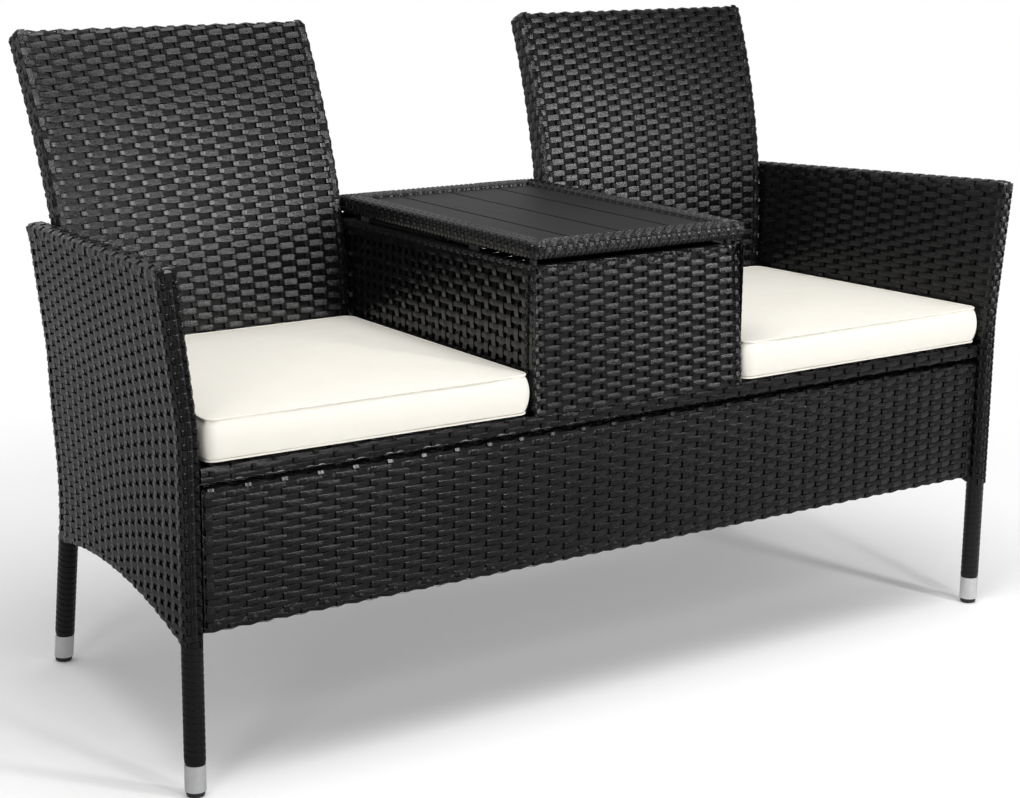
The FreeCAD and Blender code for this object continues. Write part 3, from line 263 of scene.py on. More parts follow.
def line_through(points, angles, lead=0.0, tail=0.0):
    """The same for a line through any points, made longer at its ends by a lead and a tail."""
    points, angles = np.array(points, float), np.array(angles, float)
    turning = np.sign(angles[-1] - angles[0]) or 1.0
    ahead = np.stack([-np.sin(angles), np.cos(angles)], 1) * turning
    if lead:
        points = np.vstack([points[:1] - lead * ahead[:1], points])
        angles = np.append(angles[:1], angles)
    if tail:
        points = np.vstack([points, points[-1:] + tail * ahead[-1:]])
        angles = np.append(angles, angles[-1:])
    reach = np.append(0, np.cumsum(np.hypot(*np.diff(points, axis=0).T)))

    def at(share):
        here = share * reach[-1]
        return [np.interp(here, reach, column) for column in (points[:, 0], points[:, 1], angles)]

    at.length = reach[-1]
    return at


def lifted(line, share, out):
    """A place along a line, lifted outward from it, and the way outward there."""
    p, q, turn = line(share)
    return p + out * np.cos(turn), q + out * np.sin(turn), turn


def loop_line(half_p, half_q, radius):
    """A closed line round a rectangle with rounded corners, from the middle of its first corner."""
    p, q = half_p - radius, half_q - radius
    return bent_line(((p, -q, -45, 0), (p, q, 0, 90), (-p, q, 90, 180), (-p, -q, 180, 270),
                      (p, -q, 270, 315)), radius)


def lip_line(half, radius, tail):
    """The line of a binding's section: over an edge with two rounded corners and down both its faces."""
    corners = ((half - radius, -radius, 0, 90), (radius - half, -radius, 90, 180))
    return bent_line(corners, radius, tail, tail)


def side_point(out, back, up):
    """A point of the right side: out from its middle plane, back from the front leg and up along it."""
    start, turned = BEND[0] - BEND[1] * math.tan(LEAN / 2), BEND[1] * LEAN
    tilt = np.clip((up - start) / BEND[1], 0, LEAN)
    past = np.maximum(up - start - turned, 0)
    lean_x = BEND[1] * (1 - np.cos(tilt)) + past * np.sin(tilt)
    height = np.minimum(up, start) + BEND[1] * np.sin(tilt) + past * np.cos(tilt)
    n, z = lean_x + out * np.cos(tilt), height - out * np.sin(tilt)
    return (POST[0] + n * math.cos(TOE) - back * math.sin(TOE),
            POST[1] + n * math.sin(TOE) + back * math.cos(TOE), z)


def arm_height(back):
    """How far up along the side the arm's top is at a depth."""
    top = ARM_TOP[0] + (back - SIDE_FRONT) * (ARM_TOP[1] - ARM_TOP[0]) / (SIDE_REAR - SIDE_FRONT)
    return BEND[0] + (top - BEND[0]) / math.cos(LEAN)


def arch_height(back):
    """How high the arched lower edge is at a depth."""
    return ARCH_CENTRE[1] + np.sqrt(ARCH_RADIUS ** 2 - (back - ARCH_CENTRE[0]) ** 2)


REAR_BENDS = ((0.0, 0.245, 0.3985, 1.0), (0.5134, 0.4554, SIDE_REAR, SIDE_REAR))  # heights and depths
BEND_EASE = 0.055  # the height over which each of them is rounded


def rear_edge(up):
    """How far back the side reaches at a height: in along the leg to the knee, then out to the arm."""
    near = [np.interp(up + shift, *REAR_BENDS) for shift in np.linspace(-BEND_EASE, BEND_EASE, 12)]
    return np.mean(near, axis=0)


SIDE_LENGTH = SIDE_REAR - SIDE_FRONT
side_plan = loop_line(HALF_SIDE, SIDE_LENGTH / 2, SIDE_ROUND)
SIDE_UPRIGHTS = (0, 20, 23, 43, 46)  # counted round the side, to each of its corners
CORNER_SAVED = (2 - math.pi / 2) * SIDE_ROUND
LONG_FACE, SHORT_FACE = SIDE_LENGTH - CORNER_SAVED, 2 * HALF_SIDE - CORNER_SAVED
SIDE_ROWS = 52
ARCH_HEM, ARM_HEM = 0.004, 0.009  # how far the rows end from the bound edges


def side_skin(a, b, out):
    """The skin of the right side, round its plan and up from the arch to the arm."""
    reach = np.interp(a, SIDE_UPRIGHTS, np.cumsum((0, LONG_FACE, SHORT_FACE, LONG_FACE, SHORT_FACE)))
    n, back, _ = lifted(side_plan, reach / side_plan.length, out - LIFT)
    share = back / SIDE_LENGTH + 0.5
    middle = SIDE_FRONT + share * SIDE_LENGTH
    low, high = arch_height(middle) + ARCH_HEM, arm_height(middle) - ARM_HEM
    up = low + (high - low) * b / SIDE_ROWS
    back = SIDE_FRONT + share * (rear_edge(up) - SIDE_FRONT)
    return side_point(n, back, up)


def binding(path, section, point, along, inset):
    """A skin bound along an edge: its strips follow the path and its uprights cross the section."""
    def skin(a, b, out):
        n, edge, _ = lifted(section, b / along[1], out - inset)
        p, q, _ = lifted(path, a / along[0], edge)
        return point(n, p, q)
    return skin


ARM, ARM_CORNER, ARM_TURNED_DOWN = (26, 5), 0.005, 0.012
arm_path = bent_line(((SIDE_FRONT + ARM_CORNER, arm_height(SIDE_FRONT) - ARM_CORNER, 180, 90),
                      (SIDE_REAR - ARM_CORNER, arm_height(SIDE_REAR) - ARM_CORNER, 90, 0)),
                     ARM_CORNER, ARM_TURNED_DOWN, ARM_TURNED_DOWN)
ARCH, ARCH_BOUND = (24, 4), 0.462
arch_back = np.linspace(ARCH_BOUND, 0.0, 40)
arch_turn = np.arctan2(ARCH_CENTRE[1] - arch_height(arch_back), ARCH_CENTRE[0] - arch_back)
arch_path = line_through(np.stack([arch_back, arch_height(arch_back)], 1), arch_turn)
BOUND = 0.0009  # how far a binding is drawn in, for its strips to reach the CAD's face
arm_skin = binding(arm_path, lip_line(HALF_SIDE, 0.008, 0.004), side_point, ARM, BOUND)
arch_skin = binding(arch_path, lip_line(HALF_SIDE, 0.005, 0.004), side_point, ARCH, BOUND)

right_side = join([
    weave("right_woven_side", side_skin, SIDE_UPRIGHTS[-1], SIDE_ROWS),
    weave("arm_binding", arm_skin, *ARM, BINDING, lift=0.0012, rise=0.001),
    weave("arch_binding", arch_skin, *ARCH, BINDING, lift=0.0012, rise=0.001)])


def mirrored(piece, name):
    """The same piece for the other half of the bench, with a mesh of its own."""
    bpy.ops.object.select_all(action="DESELECT")
    piece.select_set(True)
    bpy.context.view_layer.objects.active = piece
    bpy.ops.object.duplicate()
    twin = bpy.context.object
    twin.name = name
    bpy.ops.object.mode_set(mode="EDIT")
    bpy.ops.mesh.select_all(action="SELECT")
    bpy.ops.transform.resize(value=(-1, 1, 1), center_override=(0, 0, 0))
    bpy.ops.mesh.flip_normals()
    bpy.ops.object.mode_set(mode="OBJECT")
    return twin


def settle(piece, body, finish_slot, *nodes):
    """Fixes a finished piece to the body it moves with and hides the CAD pieces it stands for."""
    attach(piece, body)
    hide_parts(*nodes)


left_side = mirrored(right_side, "left_woven_side")
settle(right_side, "bench", "rattan", "right_side_weave")
settle(left_side, "bench", "rattan", "left_side_weave")


# The legs below the weave: a strip wound round each leg in a close spiral, then a pressed aluminium
# sleeve and a black moulded glide. Strip lapped over itself turn by turn; the sleeve is pushed on.
LEG_RADIUS = 0.011
REAR_FOOT, KNEE = 0.500, (0.442, 0.245)  # the rear leg's depth on the floor, its knee's depth and height
WRAP_TURNS, WRAP_HEIGHT, WRAP_STEPS = 18, 0.150, 14
WRAP_LAP = 0.56  # half the strip's width, as a share of a turn's rise: each turn laps the last
WRAP_OVER, WRAP_LEAN, WRAP_DOME, WRAP_STRIP = 0.0016, 0.0003, 0.0002, 0.0009
wrap_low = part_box("leg_wraps")[0].z


def leg_wrap(name, foot, knee):
    """A strip wound up a leg, from the sleeve to just inside the weave."""
    piece, along, which, side = ribbons(name, 1, WRAP_TURNS * WRAP_STEPS)
    axis = (knee - foot).normalized()
    first = foot + axis * wrap_low / axis.z
    turn = along * WRAP_TURNS * 2 * math.pi
    beside = axis.orthogonal().normalized()
    ahead = axis.cross(beside)
    up = np.clip(WRAP_HEIGHT * (along + side * WRAP_LAP / WRAP_TURNS), 0, WRAP_HEIGHT)
    radius = LEG_RADIUS + WRAP_OVER + WRAP_LEAN * side + WRAP_DOME * (1 - side ** 2)
    spots = [first[k] + axis[k] * up + radius * (np.cos(turn) * beside[k] + np.sin(turn) * ahead[k])
             for k in range(3)]
    lay(piece, spots, along * WRAP_TURNS * 3, which, side, WRAP_STRIP)
    return piece


front_foot = Vector((*POST, 0))
front_knee = front_foot + Vector((0, 0, 0.2))
rear_foot = Vector(side_point(0, REAR_FOOT, np.float64(0)))
rear_knee = Vector(side_point(0, KNEE[0], np.float64(KNEE[1])))
right_wraps = join([leg_wrap("leg_wrap_strips", front_foot, front_knee),
                    leg_wrap("rear", rear_foot, rear_knee)])
wraps = join([right_wraps, mirrored(right_wraps, "left_wraps")])
settle(wraps, "bench", "rattan", "leg_wraps")

aluminium = mottled_finish("brushed_aluminium", (0.72, 0.72, 0.73), (0.88, 0.88, 0.88), (0.34, 0.48),
                           120, 700, 0.00003, 0.7)
coat(aluminium, "foot_sleeves")
moulding = mottled_finish("black_moulding", (0.012, 0.012, 0.013), (0.022, 0.022, 0.023), (0.45, 0.6),
                          80, 1200, 0.00004)
coat(moulding, "foot_glides")


# The seat: a woven deck under each cushion and a woven lip along the front rail. The same strip, laid
# over the seat's cross bars and wound round the front rail.
deck_low, deck_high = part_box("right_seat_deck")
DECK = (16, 50)


def deck_skin(a, b, out):
    """The right deck, narrower toward the back."""
    y = deck_low.y + (deck_high.y - deck_low.y) * b / DECK[1]
    wide = deck_high.x - (y - deck_low.y) * math.tan(TOE) - deck_low.x
    return deck_low.x + wide * a / DECK[0], y, deck_high.z - LIFT + out


right_deck = weave("right_woven_deck", deck_skin, *DECK)
left_deck = mirrored(right_deck, "left_woven_deck")
settle(right_deck, "bench", "rattan", "right_seat_deck")
settle(left_deck, "bench", "rattan", "left_seat_deck")


def sleeve(node, warps, rows, radius, inset):
    """A skin wound round a straight bar that runs across the bench, as big as the CAD piece."""
    low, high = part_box(node)
    middle = (low + high) / 2
    section = loop_line((high.y - low.y) / 2, (high.z - low.z) / 2, radius)

    def skin(a, b, out):
        p, q, _ = lifted(section, b / rows, out - inset)
        return low.x + (high.x - low.x) * a / warps, middle.y - p, middle.z + q
    return skin


lip_low, lip_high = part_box("seat_front_band")
LIP, LIP_BACK = (46, 10), (46, 2)
LIP_UPRIGHT = 0.1
LIP_DROP, LIP_ROW = 0.012, 0.008  # how far the dark strip behind the lip, which stands in for the shade in the gap, hangs below it, and its rows


def gap_shade_strip(a, b, out):
    """A dark strip behind the lip that closes the gap down to the apron and stands in for the shade in
    that gap.
    """
    return (lip_low.x + (lip_high.x - lip_low.x) * a / LIP_BACK[0], lip_high.y + RISE - out,
            lip_low.z - LIP_DROP + LIP_ROW * b)


lip = join([weave("woven_seat_lip", sleeve("seat_front_band", *LIP, 0.003, 0.0008), *LIP, LIP_UPRIGHT,
                  lift=0.0012, rise=0.0010),
            weave("lip_gap_shade", gap_shade_strip, *LIP_BACK, LIP_UPRIGHT, lift=0.0006, rise=0.0006)])
settle(lip, "bench", "rattan", "seat_front_band")


# The apron: a woven panel hung under the seat between the front legs. A tube frame wound with strip,
# with a strip bound up each end.
apron_low, apron_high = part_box("apron_weave")
apron_middle = (apron_low + apron_high) / 2
APRON, APRON_END = (52, 48), (12, 4)
APRON_HEM = 0.004  # how far the bound ends stop from the lower and upper edge
apron = [weave("woven_apron", sleeve("apron_weave", *APRON, 0.004, RISE), *APRON, rise=0.0005)]
end_section = lip_line(0.010, 0.006, 0.006)


def apron_point(out, x, z):
    """A point of the apron's end, from its middle plane."""
    return x, apron_middle.y + out, z


for hand in (1, -1):
    ends = [(apron_high.x * hand, z) for z in (apron_low.z + APRON_HEM, apron_high.z - APRON_HEM)]
    end_path = line_through(ends[::-hand], np.radians([90 - 90 * hand] * 2))
    apron.append(weave("apron_end", binding(end_path, end_section, apron_point, APRON_END, BOUND),
                       *APRON_END, BINDING, lift=0.001, rise=0.001))
apron = join(apron)
settle(apron, "bench", "rattan", "apron_weave")


# The backs: two curved panels that lean back, woven right round and over the top, with strips bound
# up both side edges. The same strip over a hoop of bent tube.
BACK_CENTRE, BACK_RADIUS = (1.209, 0.380), 1.046  # the curve's centre, its depth and height
BACK_START, BACK_END = 0.0048, math.radians(25.7)  # the angles between which it runs
BACK_LENGTH = BACK_RADIUS * (BACK_END - BACK_START)
BACK_HALF, BACK_TOP_ROUND = 0.014, 0.010
BACK_INNER = ((0.385, 0.600, 0.838), (0.168, 0.169, 0.178))  # heights, and how far out each edge is there
BACK_OUTER = ((0.385, 0.432, 0.599, 0.838), (0.568, 0.568, 0.584, 0.600))
BACK, BACK_EDGE = (18, 120), (34, 6)
EDGE_GAP, EDGE_END = 0.012, 0.497  # shares of the width and of the length that the bindings leave free
EDGE_BOUND = 0.0008
back_section = loop_line(BACK_HALF, BACK_LENGTH / 2, 0.009)
edge_section = lip_line(BACK_HALF, 0.005, 0.007)


def back_point(x_share, forward, up):
    """A point of the right back: its share of the width, place in the thickness and way up the curve."""
    turn = BACK_START + (up + BACK_LENGTH / 2) / BACK_RADIUS
    reach = BACK_RADIUS + forward
    z = BACK_CENTRE[1] + reach * np.sin(turn)
    rounded = np.clip(up - (BACK_LENGTH / 2 - BACK_TOP_ROUND), 0, BACK_TOP_ROUND)
    drawn = BACK_TOP_ROUND - np.sqrt(BACK_TOP_ROUND ** 2 - rounded ** 2)
    inner, outer = np.interp(z, *BACK_INNER) + drawn, np.interp(z, *BACK_OUTER) - drawn
    return inner + (outer - inner) * x_share, BACK_CENTRE[0] - reach * np.cos(turn), z


def back_skin(a, b, out):
    """The skin of the right back, up its front, over the top and down behind."""
    p, q, _ = lifted(back_section, b / BACK[1], out - LIFT)
    return back_point(EDGE_GAP + (1 - 2 * EDGE_GAP) * a / BACK[0], p, q)


def back_edge(outer):
    """The binding up one side edge of the back."""
    def skin(a, b, out):
        across = b / BACK_EDGE[1]
        p, edge, _ = lifted(edge_section, 1 - across if outer else across, out - EDGE_BOUND)
        up = BACK_LENGTH * EDGE_END * (2 * a / BACK_EDGE[0] - 1)
        x, y, z = back_point(float(outer), p, up)
        return x + (edge if outer else -edge), y, z
    return skin


right_back = join([weave("right_woven_back", back_skin, *BACK),
                   weave("inner_edge", back_edge(False), *BACK_EDGE, BINDING, lift=0.001, rise=0.001),
                   weave("outer_edge", back_edge(True), *BACK_EDGE, BINDING, lift=0.001, rise=0.001)])
left_back = mirrored(right_back, "left_woven_back")
settle(right_back, "bench", "rattan", "right_back_weave")
settle(left_back, "bench", "rattan", "left_back_weave")

zinc = mottled_finish("zinc_plate", (0.42, 0.42, 0.43), (0.62, 0.62, 0.62), (0.28, 0.42), 90, 600, 0.00003,
                      1.0)
coat(zinc, "back_bolts")


# The storage box: a close-woven front that leans back a little, open-woven sides on a plain lining, a
# woven back and floor, and rubber bumpers for the lid. Strip woven on the box's posts and rails, bound
# along each free edge.
coat(moulding, "lid_bumpers")

front_low, front_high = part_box("box_front_weave")
FRONT_SLOPE = math.atan2(0.014, 0.188)
FRONT, FRONT_EDGE, FRONT_TOP = (14, 26), (24, 4), (22, 4)
FRONT_HEM, FRONT_SUNK = 0.004, 0.0025  # the front's free edges, and how far back their bindings' middle is
FRONT_LENGTH = (front_high.z - front_low.z - FRONT_HEM) / math.cos(FRONT_SLOPE)
BOX_UPRIGHT = 0.16
THIN_BOUND = 0.0006


def front_point(x, out, up):
    """A point of the box's front, from its width, how far it stands out and up along its slope."""
    return (x, front_low.y - out * math.cos(FRONT_SLOPE) + up * math.sin(FRONT_SLOPE),
            front_low.z + out * math.sin(FRONT_SLOPE) + up * math.cos(FRONT_SLOPE))


def front_skin(a, b, out):
    """The box's front between its bound edges."""
    x = (front_low.x + FRONT_HEM) * (1 - 2 * a / FRONT[0])
    return front_point(x, out - LIFT, FRONT_LENGTH * b / FRONT[1])


thin_section = lip_line(0.0025, 0.002, 0.007)


def front_edge(hand):
    """The binding up one side of the box's front."""
    def skin(a, b, out):
        across = b / FRONT_EDGE[1]
        n, edge, _ = lifted(thin_section, across if hand < 0 else 1 - across, out - THIN_BOUND)
        return front_point(hand * (front_high.x + edge), n - FRONT_SUNK, FRONT_LENGTH * a / FRONT_EDGE[0])
    return skin


def front_top(a, b, out):
    """The binding along the top of the box's front."""
    n, edge, _ = lifted(thin_section, 1 - b / FRONT_TOP[1], out - THIN_BOUND)
    return front_point(front_low.x * (2 * a / FRONT_TOP[0] - 1), n - FRONT_SUNK, FRONT_LENGTH + edge)


box_front = join([
    weave("woven_box_front", front_skin, *FRONT, BOX_UPRIGHT),
    weave("front_edge_right", front_edge(1), *FRONT_EDGE, BINDING, lift=0.0008, rise=0.0008),
    weave("front_edge_left", front_edge(-1), *FRONT_EDGE, BINDING, lift=0.0008, rise=0.0008),
    weave("front_edge_top", front_top, *FRONT_TOP, BINDING, lift=0.0008, rise=0.0008)])
settle(box_front, "bench", "rattan", "box_front_weave")

wall_low, wall_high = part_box("right_box_side_weave")
WALL, LINING, WALL_CORNER, BEAD, WALL_EDGE = (27, 12), (16, 22), (1, 14), (26, 2), (60, 4)
WALL_DEPTH, LINING_DEPTH, CORNER_DEPTH = 0.0016, 0.0050, 0.0008  # in from the side's face
CORNER, WALL_HEM = 0.016, 0.004
WALL_TOP = ((wall_low.y, wall_high.y), (wall_high.z + 0.002, wall_high.z - 0.005))  # higher in front
EDGE_SUNK, BEAD_SUNK, WALL_BOUND = 0.0025, 0.0012, 0.0004


def wall_sheet(first, last, warps, rows, depth):
    """An upright sheet along the box's side, from one depth to another."""
    def skin(a, b, out):
        y = first + (last - first) * a / warps
        top = np.interp(y, *WALL_TOP) - WALL_HEM
        return wall_high.x - depth + out, y, wall_low.z + (top - wall_low.z) * b / rows
    return skin


def wall_top(a, b, out):
    """The binding along the side's top edge."""
    n, edge, _ = lifted(thin_section, 1 - b / WALL_EDGE[1], out - WALL_BOUND)
    y = wall_low.y + (wall_high.y - wall_low.y) * a / WALL_EDGE[0]
    return wall_high.x - EDGE_SUNK + n, y, np.interp(y, *WALL_TOP) + edge


def wall_bead(y):
    """A fine braid up the side where its weave meets a corner post."""
    def skin(a, b, out):
        n, edge, _ = lifted(bead_section, 1 - b / BEAD[1], out)
        return wall_high.x - BEAD_SUNK + edge, y + n, wall_low.z + (wall_high.z - wall_low.z) * a / BEAD[0]
    return skin


bead_section = bent_line(((0, 0, 0, 180),), 0.0018)
front_corner, rear_corner = wall_low.y + CORNER, wall_high.y - CORNER / 2
right_wall = join([
    weave("right_woven_box_side", wall_sheet(front_corner, rear_corner, *WALL, WALL_DEPTH), *WALL,
          upright=0.26, fill=0.24, lift=0.0009, rise=0.0005),
    weave("wall_lining", wall_sheet(front_corner, rear_corner, *LINING, LINING_DEPTH), *LINING,
          upright=0.2, fill=0.52, lift=0.0004, rise=0.0004),
    weave("wall_front_corner", wall_sheet(wall_low.y, front_corner, *WALL_CORNER, CORNER_DEPTH),
          *WALL_CORNER, BINDING, lift=0.0003, rise=0.0003),
    weave("wall_rear_corner", wall_sheet(rear_corner, wall_high.y, *WALL_CORNER, CORNER_DEPTH),
          *WALL_CORNER, BINDING, lift=0.0003, rise=0.0003),
    weave("wall_front_bead", wall_bead(front_corner), *BEAD, 0.3, lift=0.0006, rise=0.0006),
    weave("wall_rear_bead", wall_bead(rear_corner), *BEAD, 0.3, lift=0.0006, rise=0.0006),
    weave("wall_top", wall_top, *WALL_EDGE, 0.47, 0.4, lift=0.0006, rise=0.0006, kept=(1, 2))])
left_wall = mirrored(right_wall, "left_woven_box_side")
settle(right_wall, "bench", "rattan", "right_box_side_weave")
settle(left_wall, "bench", "rattan", "left_box_side_weave")

rear_low, rear_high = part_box("box_back_weave")
REAR, REAR_OVER = (14, 24), 0.0072


def rear_skin(a, b, out):
    """The box's back, from side to side and up to just under the lid."""
    x = wall_high.x * (1 - 2 * a / REAR[0])
    return x, rear_high.y - LIFT + out, rear_low.z + (rear_high.z + REAR_OVER - rear_low.z) * b / REAR[1]


box_back = weave("woven_box_back", rear_skin, *REAR, BOX_UPRIGHT)
settle(box_back, "bench", "rattan", "box_back_weave")

floor_low, floor_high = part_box("box_floor")
FLOOR = (14, 54)


def floor_skin(a, b, out):
    """The box's floor."""
    return (floor_low.x + (floor_high.x - floor_low.x) * a / FLOOR[0],
            floor_low.y + (floor_high.y - floor_low.y) * b / FLOOR[1], floor_high.z - LIFT + out)


box_floor = weave("woven_box_floor", floor_skin, *FLOOR, BOX_UPRIGHT)
settle(box_floor, "bench", "rattan", "box_floor")


# The lid: a frame wound with strip, fanned out at its corners, round a top of four grey boards. Strips
# lie side by side across the rim and cross over and under long strands; the boards sit a little lower.
# It is hung on two coated hinges with zinc-plated pins and screws.
rim_low, rim_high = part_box("lid_rim_weave")
RIM, RIM_HANG = 0.030, 0.005  # the rim's width, and how far its weave hangs below the frame
RIM_WRAPS, RIM_ROWS, RIM_STRANDS = 200, 12, range(1, 7)
RIM_BOUND = 0.001
rim_low.z -= RIM_HANG
rim_middle = (rim_low + rim_high) / 2
rim_half = (rim_high - rim_low) / 2
rim_section = loop_line(RIM / 2, rim_half.z, 0.006)
reach_x, reach_y = rim_half.x - RIM, rim_half.y - RIM
corner_fan = ((reach_x, rim_half.y), (rim_half.x, rim_half.y), (rim_half.x, reach_y))
ring_outer = [(x * hand, y * end) for hand, end in ((1, -1), (1, 1), (-1, 1), (-1, -1))
              for x, y in corner_fan[::-hand * end]]
ring_outer.append(ring_outer[0])
ring_outer = np.array(ring_outer)
ring_inner = np.clip(ring_outer, (-reach_x, -reach_y), (reach_x, reach_y))
ring_reach = np.append(0, np.cumsum(np.hypot(*np.diff(ring_outer, axis=0).T)))


def rim_skin(a, b, out):
    """The rim's skin, round its section and round the lid, its wraps fanned out at the corners."""
    p, q, _ = lifted(rim_section, b / RIM_ROWS, out - RIM_BOUND)
    here, inward = a / RIM_WRAPS * ring_reach[-1], 0.5 - p / RIM
    spot = [np.interp(here, ring_reach, ring_outer[:, k]) * (1 - inward)
            + np.interp(here, ring_reach, ring_inner[:, k]) * inward for k in (0, 1)]
    return rim_middle.x + spot[0], rim_middle.y + spot[1], rim_middle.z + q


rim = weave("woven_lid_rim", rim_skin, RIM_WRAPS, RIM_ROWS, upright=0.47, fill=0.47, lift=0.0011,
            rise=0.0009, kept=RIM_STRANDS, dome=0.0015)
settle(rim, "lid", "rattan", "lid_rim_weave")

board_finish, tree, shader = new_finish("grey_board")
spot = wire(tree, "ShaderNodeTexCoord", {}).outputs["Object"]
drawn = wire(tree, "ShaderNodeMapping", {"Vector": spot, "Scale": (260.0, 9.0, 60.0)}).outputs[0]
grain = wire(tree, "ShaderNodeTexNoise", {"Vector": drawn, "Scale": 1.0, "Detail": 5.0}).outputs["Fac"]
tone = wire(tree, "ShaderNodeMix", {0: grain, 6: (0.005, 0.005, 0.0054, 1), 7: (0.018, 0.0176, 0.0176, 1)},
            data_type="RGBA")
gloss = wire(tree, "ShaderNodeMapRange", {"Value": grain, "To Min": 0.50, "To Max": 0.66})
bump = wire(tree, "ShaderNodeBump", {"Height": grain, "Distance": 0.0003, "Strength": 0.6})
tree.links.new(tone.outputs[2], shader.inputs["Base Color"])
tree.links.new(gloss.outputs["Result"], shader.inputs["Roughness"])
tree.links.new(bump.outputs["Normal"], shader.inputs["Normal"])
shader.inputs["Specular IOR Level"].default_value = 0.2
coat(board_finish, "lid_slats")

coat(powder_coat, "hinge_box_leaves", "hinge_lid_leaves")
coat(zinc, "hinge_pins", "hinge_box_screws", "lid_screws")


# The gas struts: a black painted cylinder and a polished rod on each side of the box, which hold the lid
# open. Drawn steel tube and ground steel bar, each with an eye that turns on a zinc-plated stud.
coat(zinc, "strut_box_studs", "strut_lid_studs")
strut_paint = mottled_finish("strut_paint", (0.010, 0.010, 0.011), (0.018, 0.018, 0.018), (0.22, 0.32),
                             50, 700, 0.00002)
chrome = mottled_finish("polished_rod", (0.55, 0.55, 0.56), (0.66, 0.66, 0.66), (0.12, 0.20),
                        140, 900, 0.00001, 1.0)
for side in ("right", "left"):
    coat(strut_paint, side + "_strut_cylinder")
    coat(chrome, side + "_strut_rod")


# The seat cushions: boxed foam pads in a sewn cream cover with a fine welt along both seams. Cut from a
# top, a bottom and a band of woven polyester; the cover pulls the foam into a low crown. They lie loose.
cover_low, cover_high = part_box("right_cushion_cover")
WELT = 0.0013
CROWN, BELLY = 0.012, 0.006  # how far the top and the band swell out
SEAM_LOW, SEAM_HIGH = cover_low.z + 0.0055, cover_high.z - 0.0025
INSET, BOX_ROOM = 0.0015, 0.0035  # how far the seams keep in from the cover's size, and from the box
OVERHANG = {"box": 0.007, "arm": 0.001}  # how far the front edge stands forward at its two ends
PAD_CORNER, PAD_GRAIN = 0.014, 0.006
OFF_DECK = 0.0005  # the least that the underside keeps off the deck
PRESSURE, TICKS = 12, 20
BAND_TILT, TOP_TILT = 0.25, 0.96  # between these a face is at a seam

cream, tree, shader = new_finish("cream_cloth")
spot = wire(tree, "ShaderNodeTexCoord", {}).outputs["Object"]
soft = wire(tree, "ShaderNodeTexNoise", {"Vector": spot, "Scale": 26.0, "Detail": 5.0}).outputs["Fac"]
threads = wire(tree, "ShaderNodeTexNoise", {"Vector": spot, "Scale": 1400.0, "Detail": 2.0}).outputs["Fac"]
tone = wire(tree, "ShaderNodeMix", {0: soft, 6: (0.705, 0.68, 0.615, 1), 7: (0.75, 0.725, 0.66, 1)},
            data_type="RGBA")
gloss = wire(tree, "ShaderNodeMapRange", {"Value": threads, "To Min": 0.80, "To Max": 0.95})
folds = wire(tree, "ShaderNodeTexNoise", {"Vector": spot, "Scale": 11.0, "Detail": 3.0}).outputs["Fac"]
draped = wire(tree, "ShaderNodeBump", {"Height": folds, "Distance": 0.006, "Strength": 0.35})
bump = wire(tree, "ShaderNodeBump", {"Height": threads, "Distance": 0.0003, "Strength": 0.4,
                                     "Normal": draped.outputs["Normal"]})
tree.links.new(tone.outputs[2], shader.inputs["Base Color"])
tree.links.new(gloss.outputs["Result"], shader.inputs["Roughness"])
tree.links.new(bump.outputs["Normal"], shader.inputs["Normal"])

bpy.ops.object.select_all(action="DESELECT")
bpy.ops.mesh.primitive_plane_add(size=1)
pad = bpy.context.object
pad.name = "right_cushion"
narrow = (cover_high.y - cover_low.y) * math.tan(TOE)
for vertex in pad.data.vertices:
    end, rear = "arm" if vertex.co.x > 0 else "box", vertex.co.y > 0
    y = cover_high.y - INSET if rear else cover_low.y - OVERHANG[end]
    x = cover_high.x - INSET - narrow * rear if end == "arm" else cover_low.x + BOX_ROOM
    vertex.co = (x, y, SEAM_LOW)
bpy.ops.object.mode_set(mode="EDIT")
bpy.ops.mesh.select_all(action="SELECT")
bpy.ops.mesh.bevel(affect="VERTICES", offset=PAD_CORNER, segments=6)
bpy.ops.mesh.select_all(action="SELECT")
bpy.ops.mesh.extrude_region_move(TRANSFORM_OT_translate={"value": (0, 0, SEAM_HIGH - SEAM_LOW)})
bpy.ops.mesh.select_all(action="SELECT")
bpy.ops.mesh.normals_make_consistent(inside=False)
bpy.ops.object.mode_set(mode="OBJECT")

welts = []
for seam in (SEAM_LOW, SEAM_HIGH):
    bpy.ops.object.select_all(action="DESELECT")
    pad.select_set(True)
    bpy.context.view_layer.objects.active = pad
    bpy.ops.object.duplicate()
    welt = bpy.context.object
    bpy.ops.object.mode_set(mode="EDIT")
    bpy.ops.mesh.select_mode(type="VERT")
    bpy.ops.mesh.select_all(action="DESELECT")
    bpy.ops.object.mode_set(mode="OBJECT")
    for vertex in welt.data.vertices:
        vertex.select = abs(vertex.co.z - seam) > WELT
    bpy.ops.object.mode_set(mode="EDIT")
    bpy.ops.mesh.delete(type="VERT")
    bpy.ops.mesh.select_all(action="SELECT")
    bpy.ops.mesh.delete(type="ONLY_FACE")
    bpy.ops.object.mode_set(mode="OBJECT")
    bpy.ops.object.convert(target="CURVE")
    welt.data.bevel_depth = WELT
    welt.data.bevel_resolution = 2
    bpy.ops.object.convert(target="MESH")
    bpy.ops.object.shade_smooth()
    welts.append(bpy.context.object)

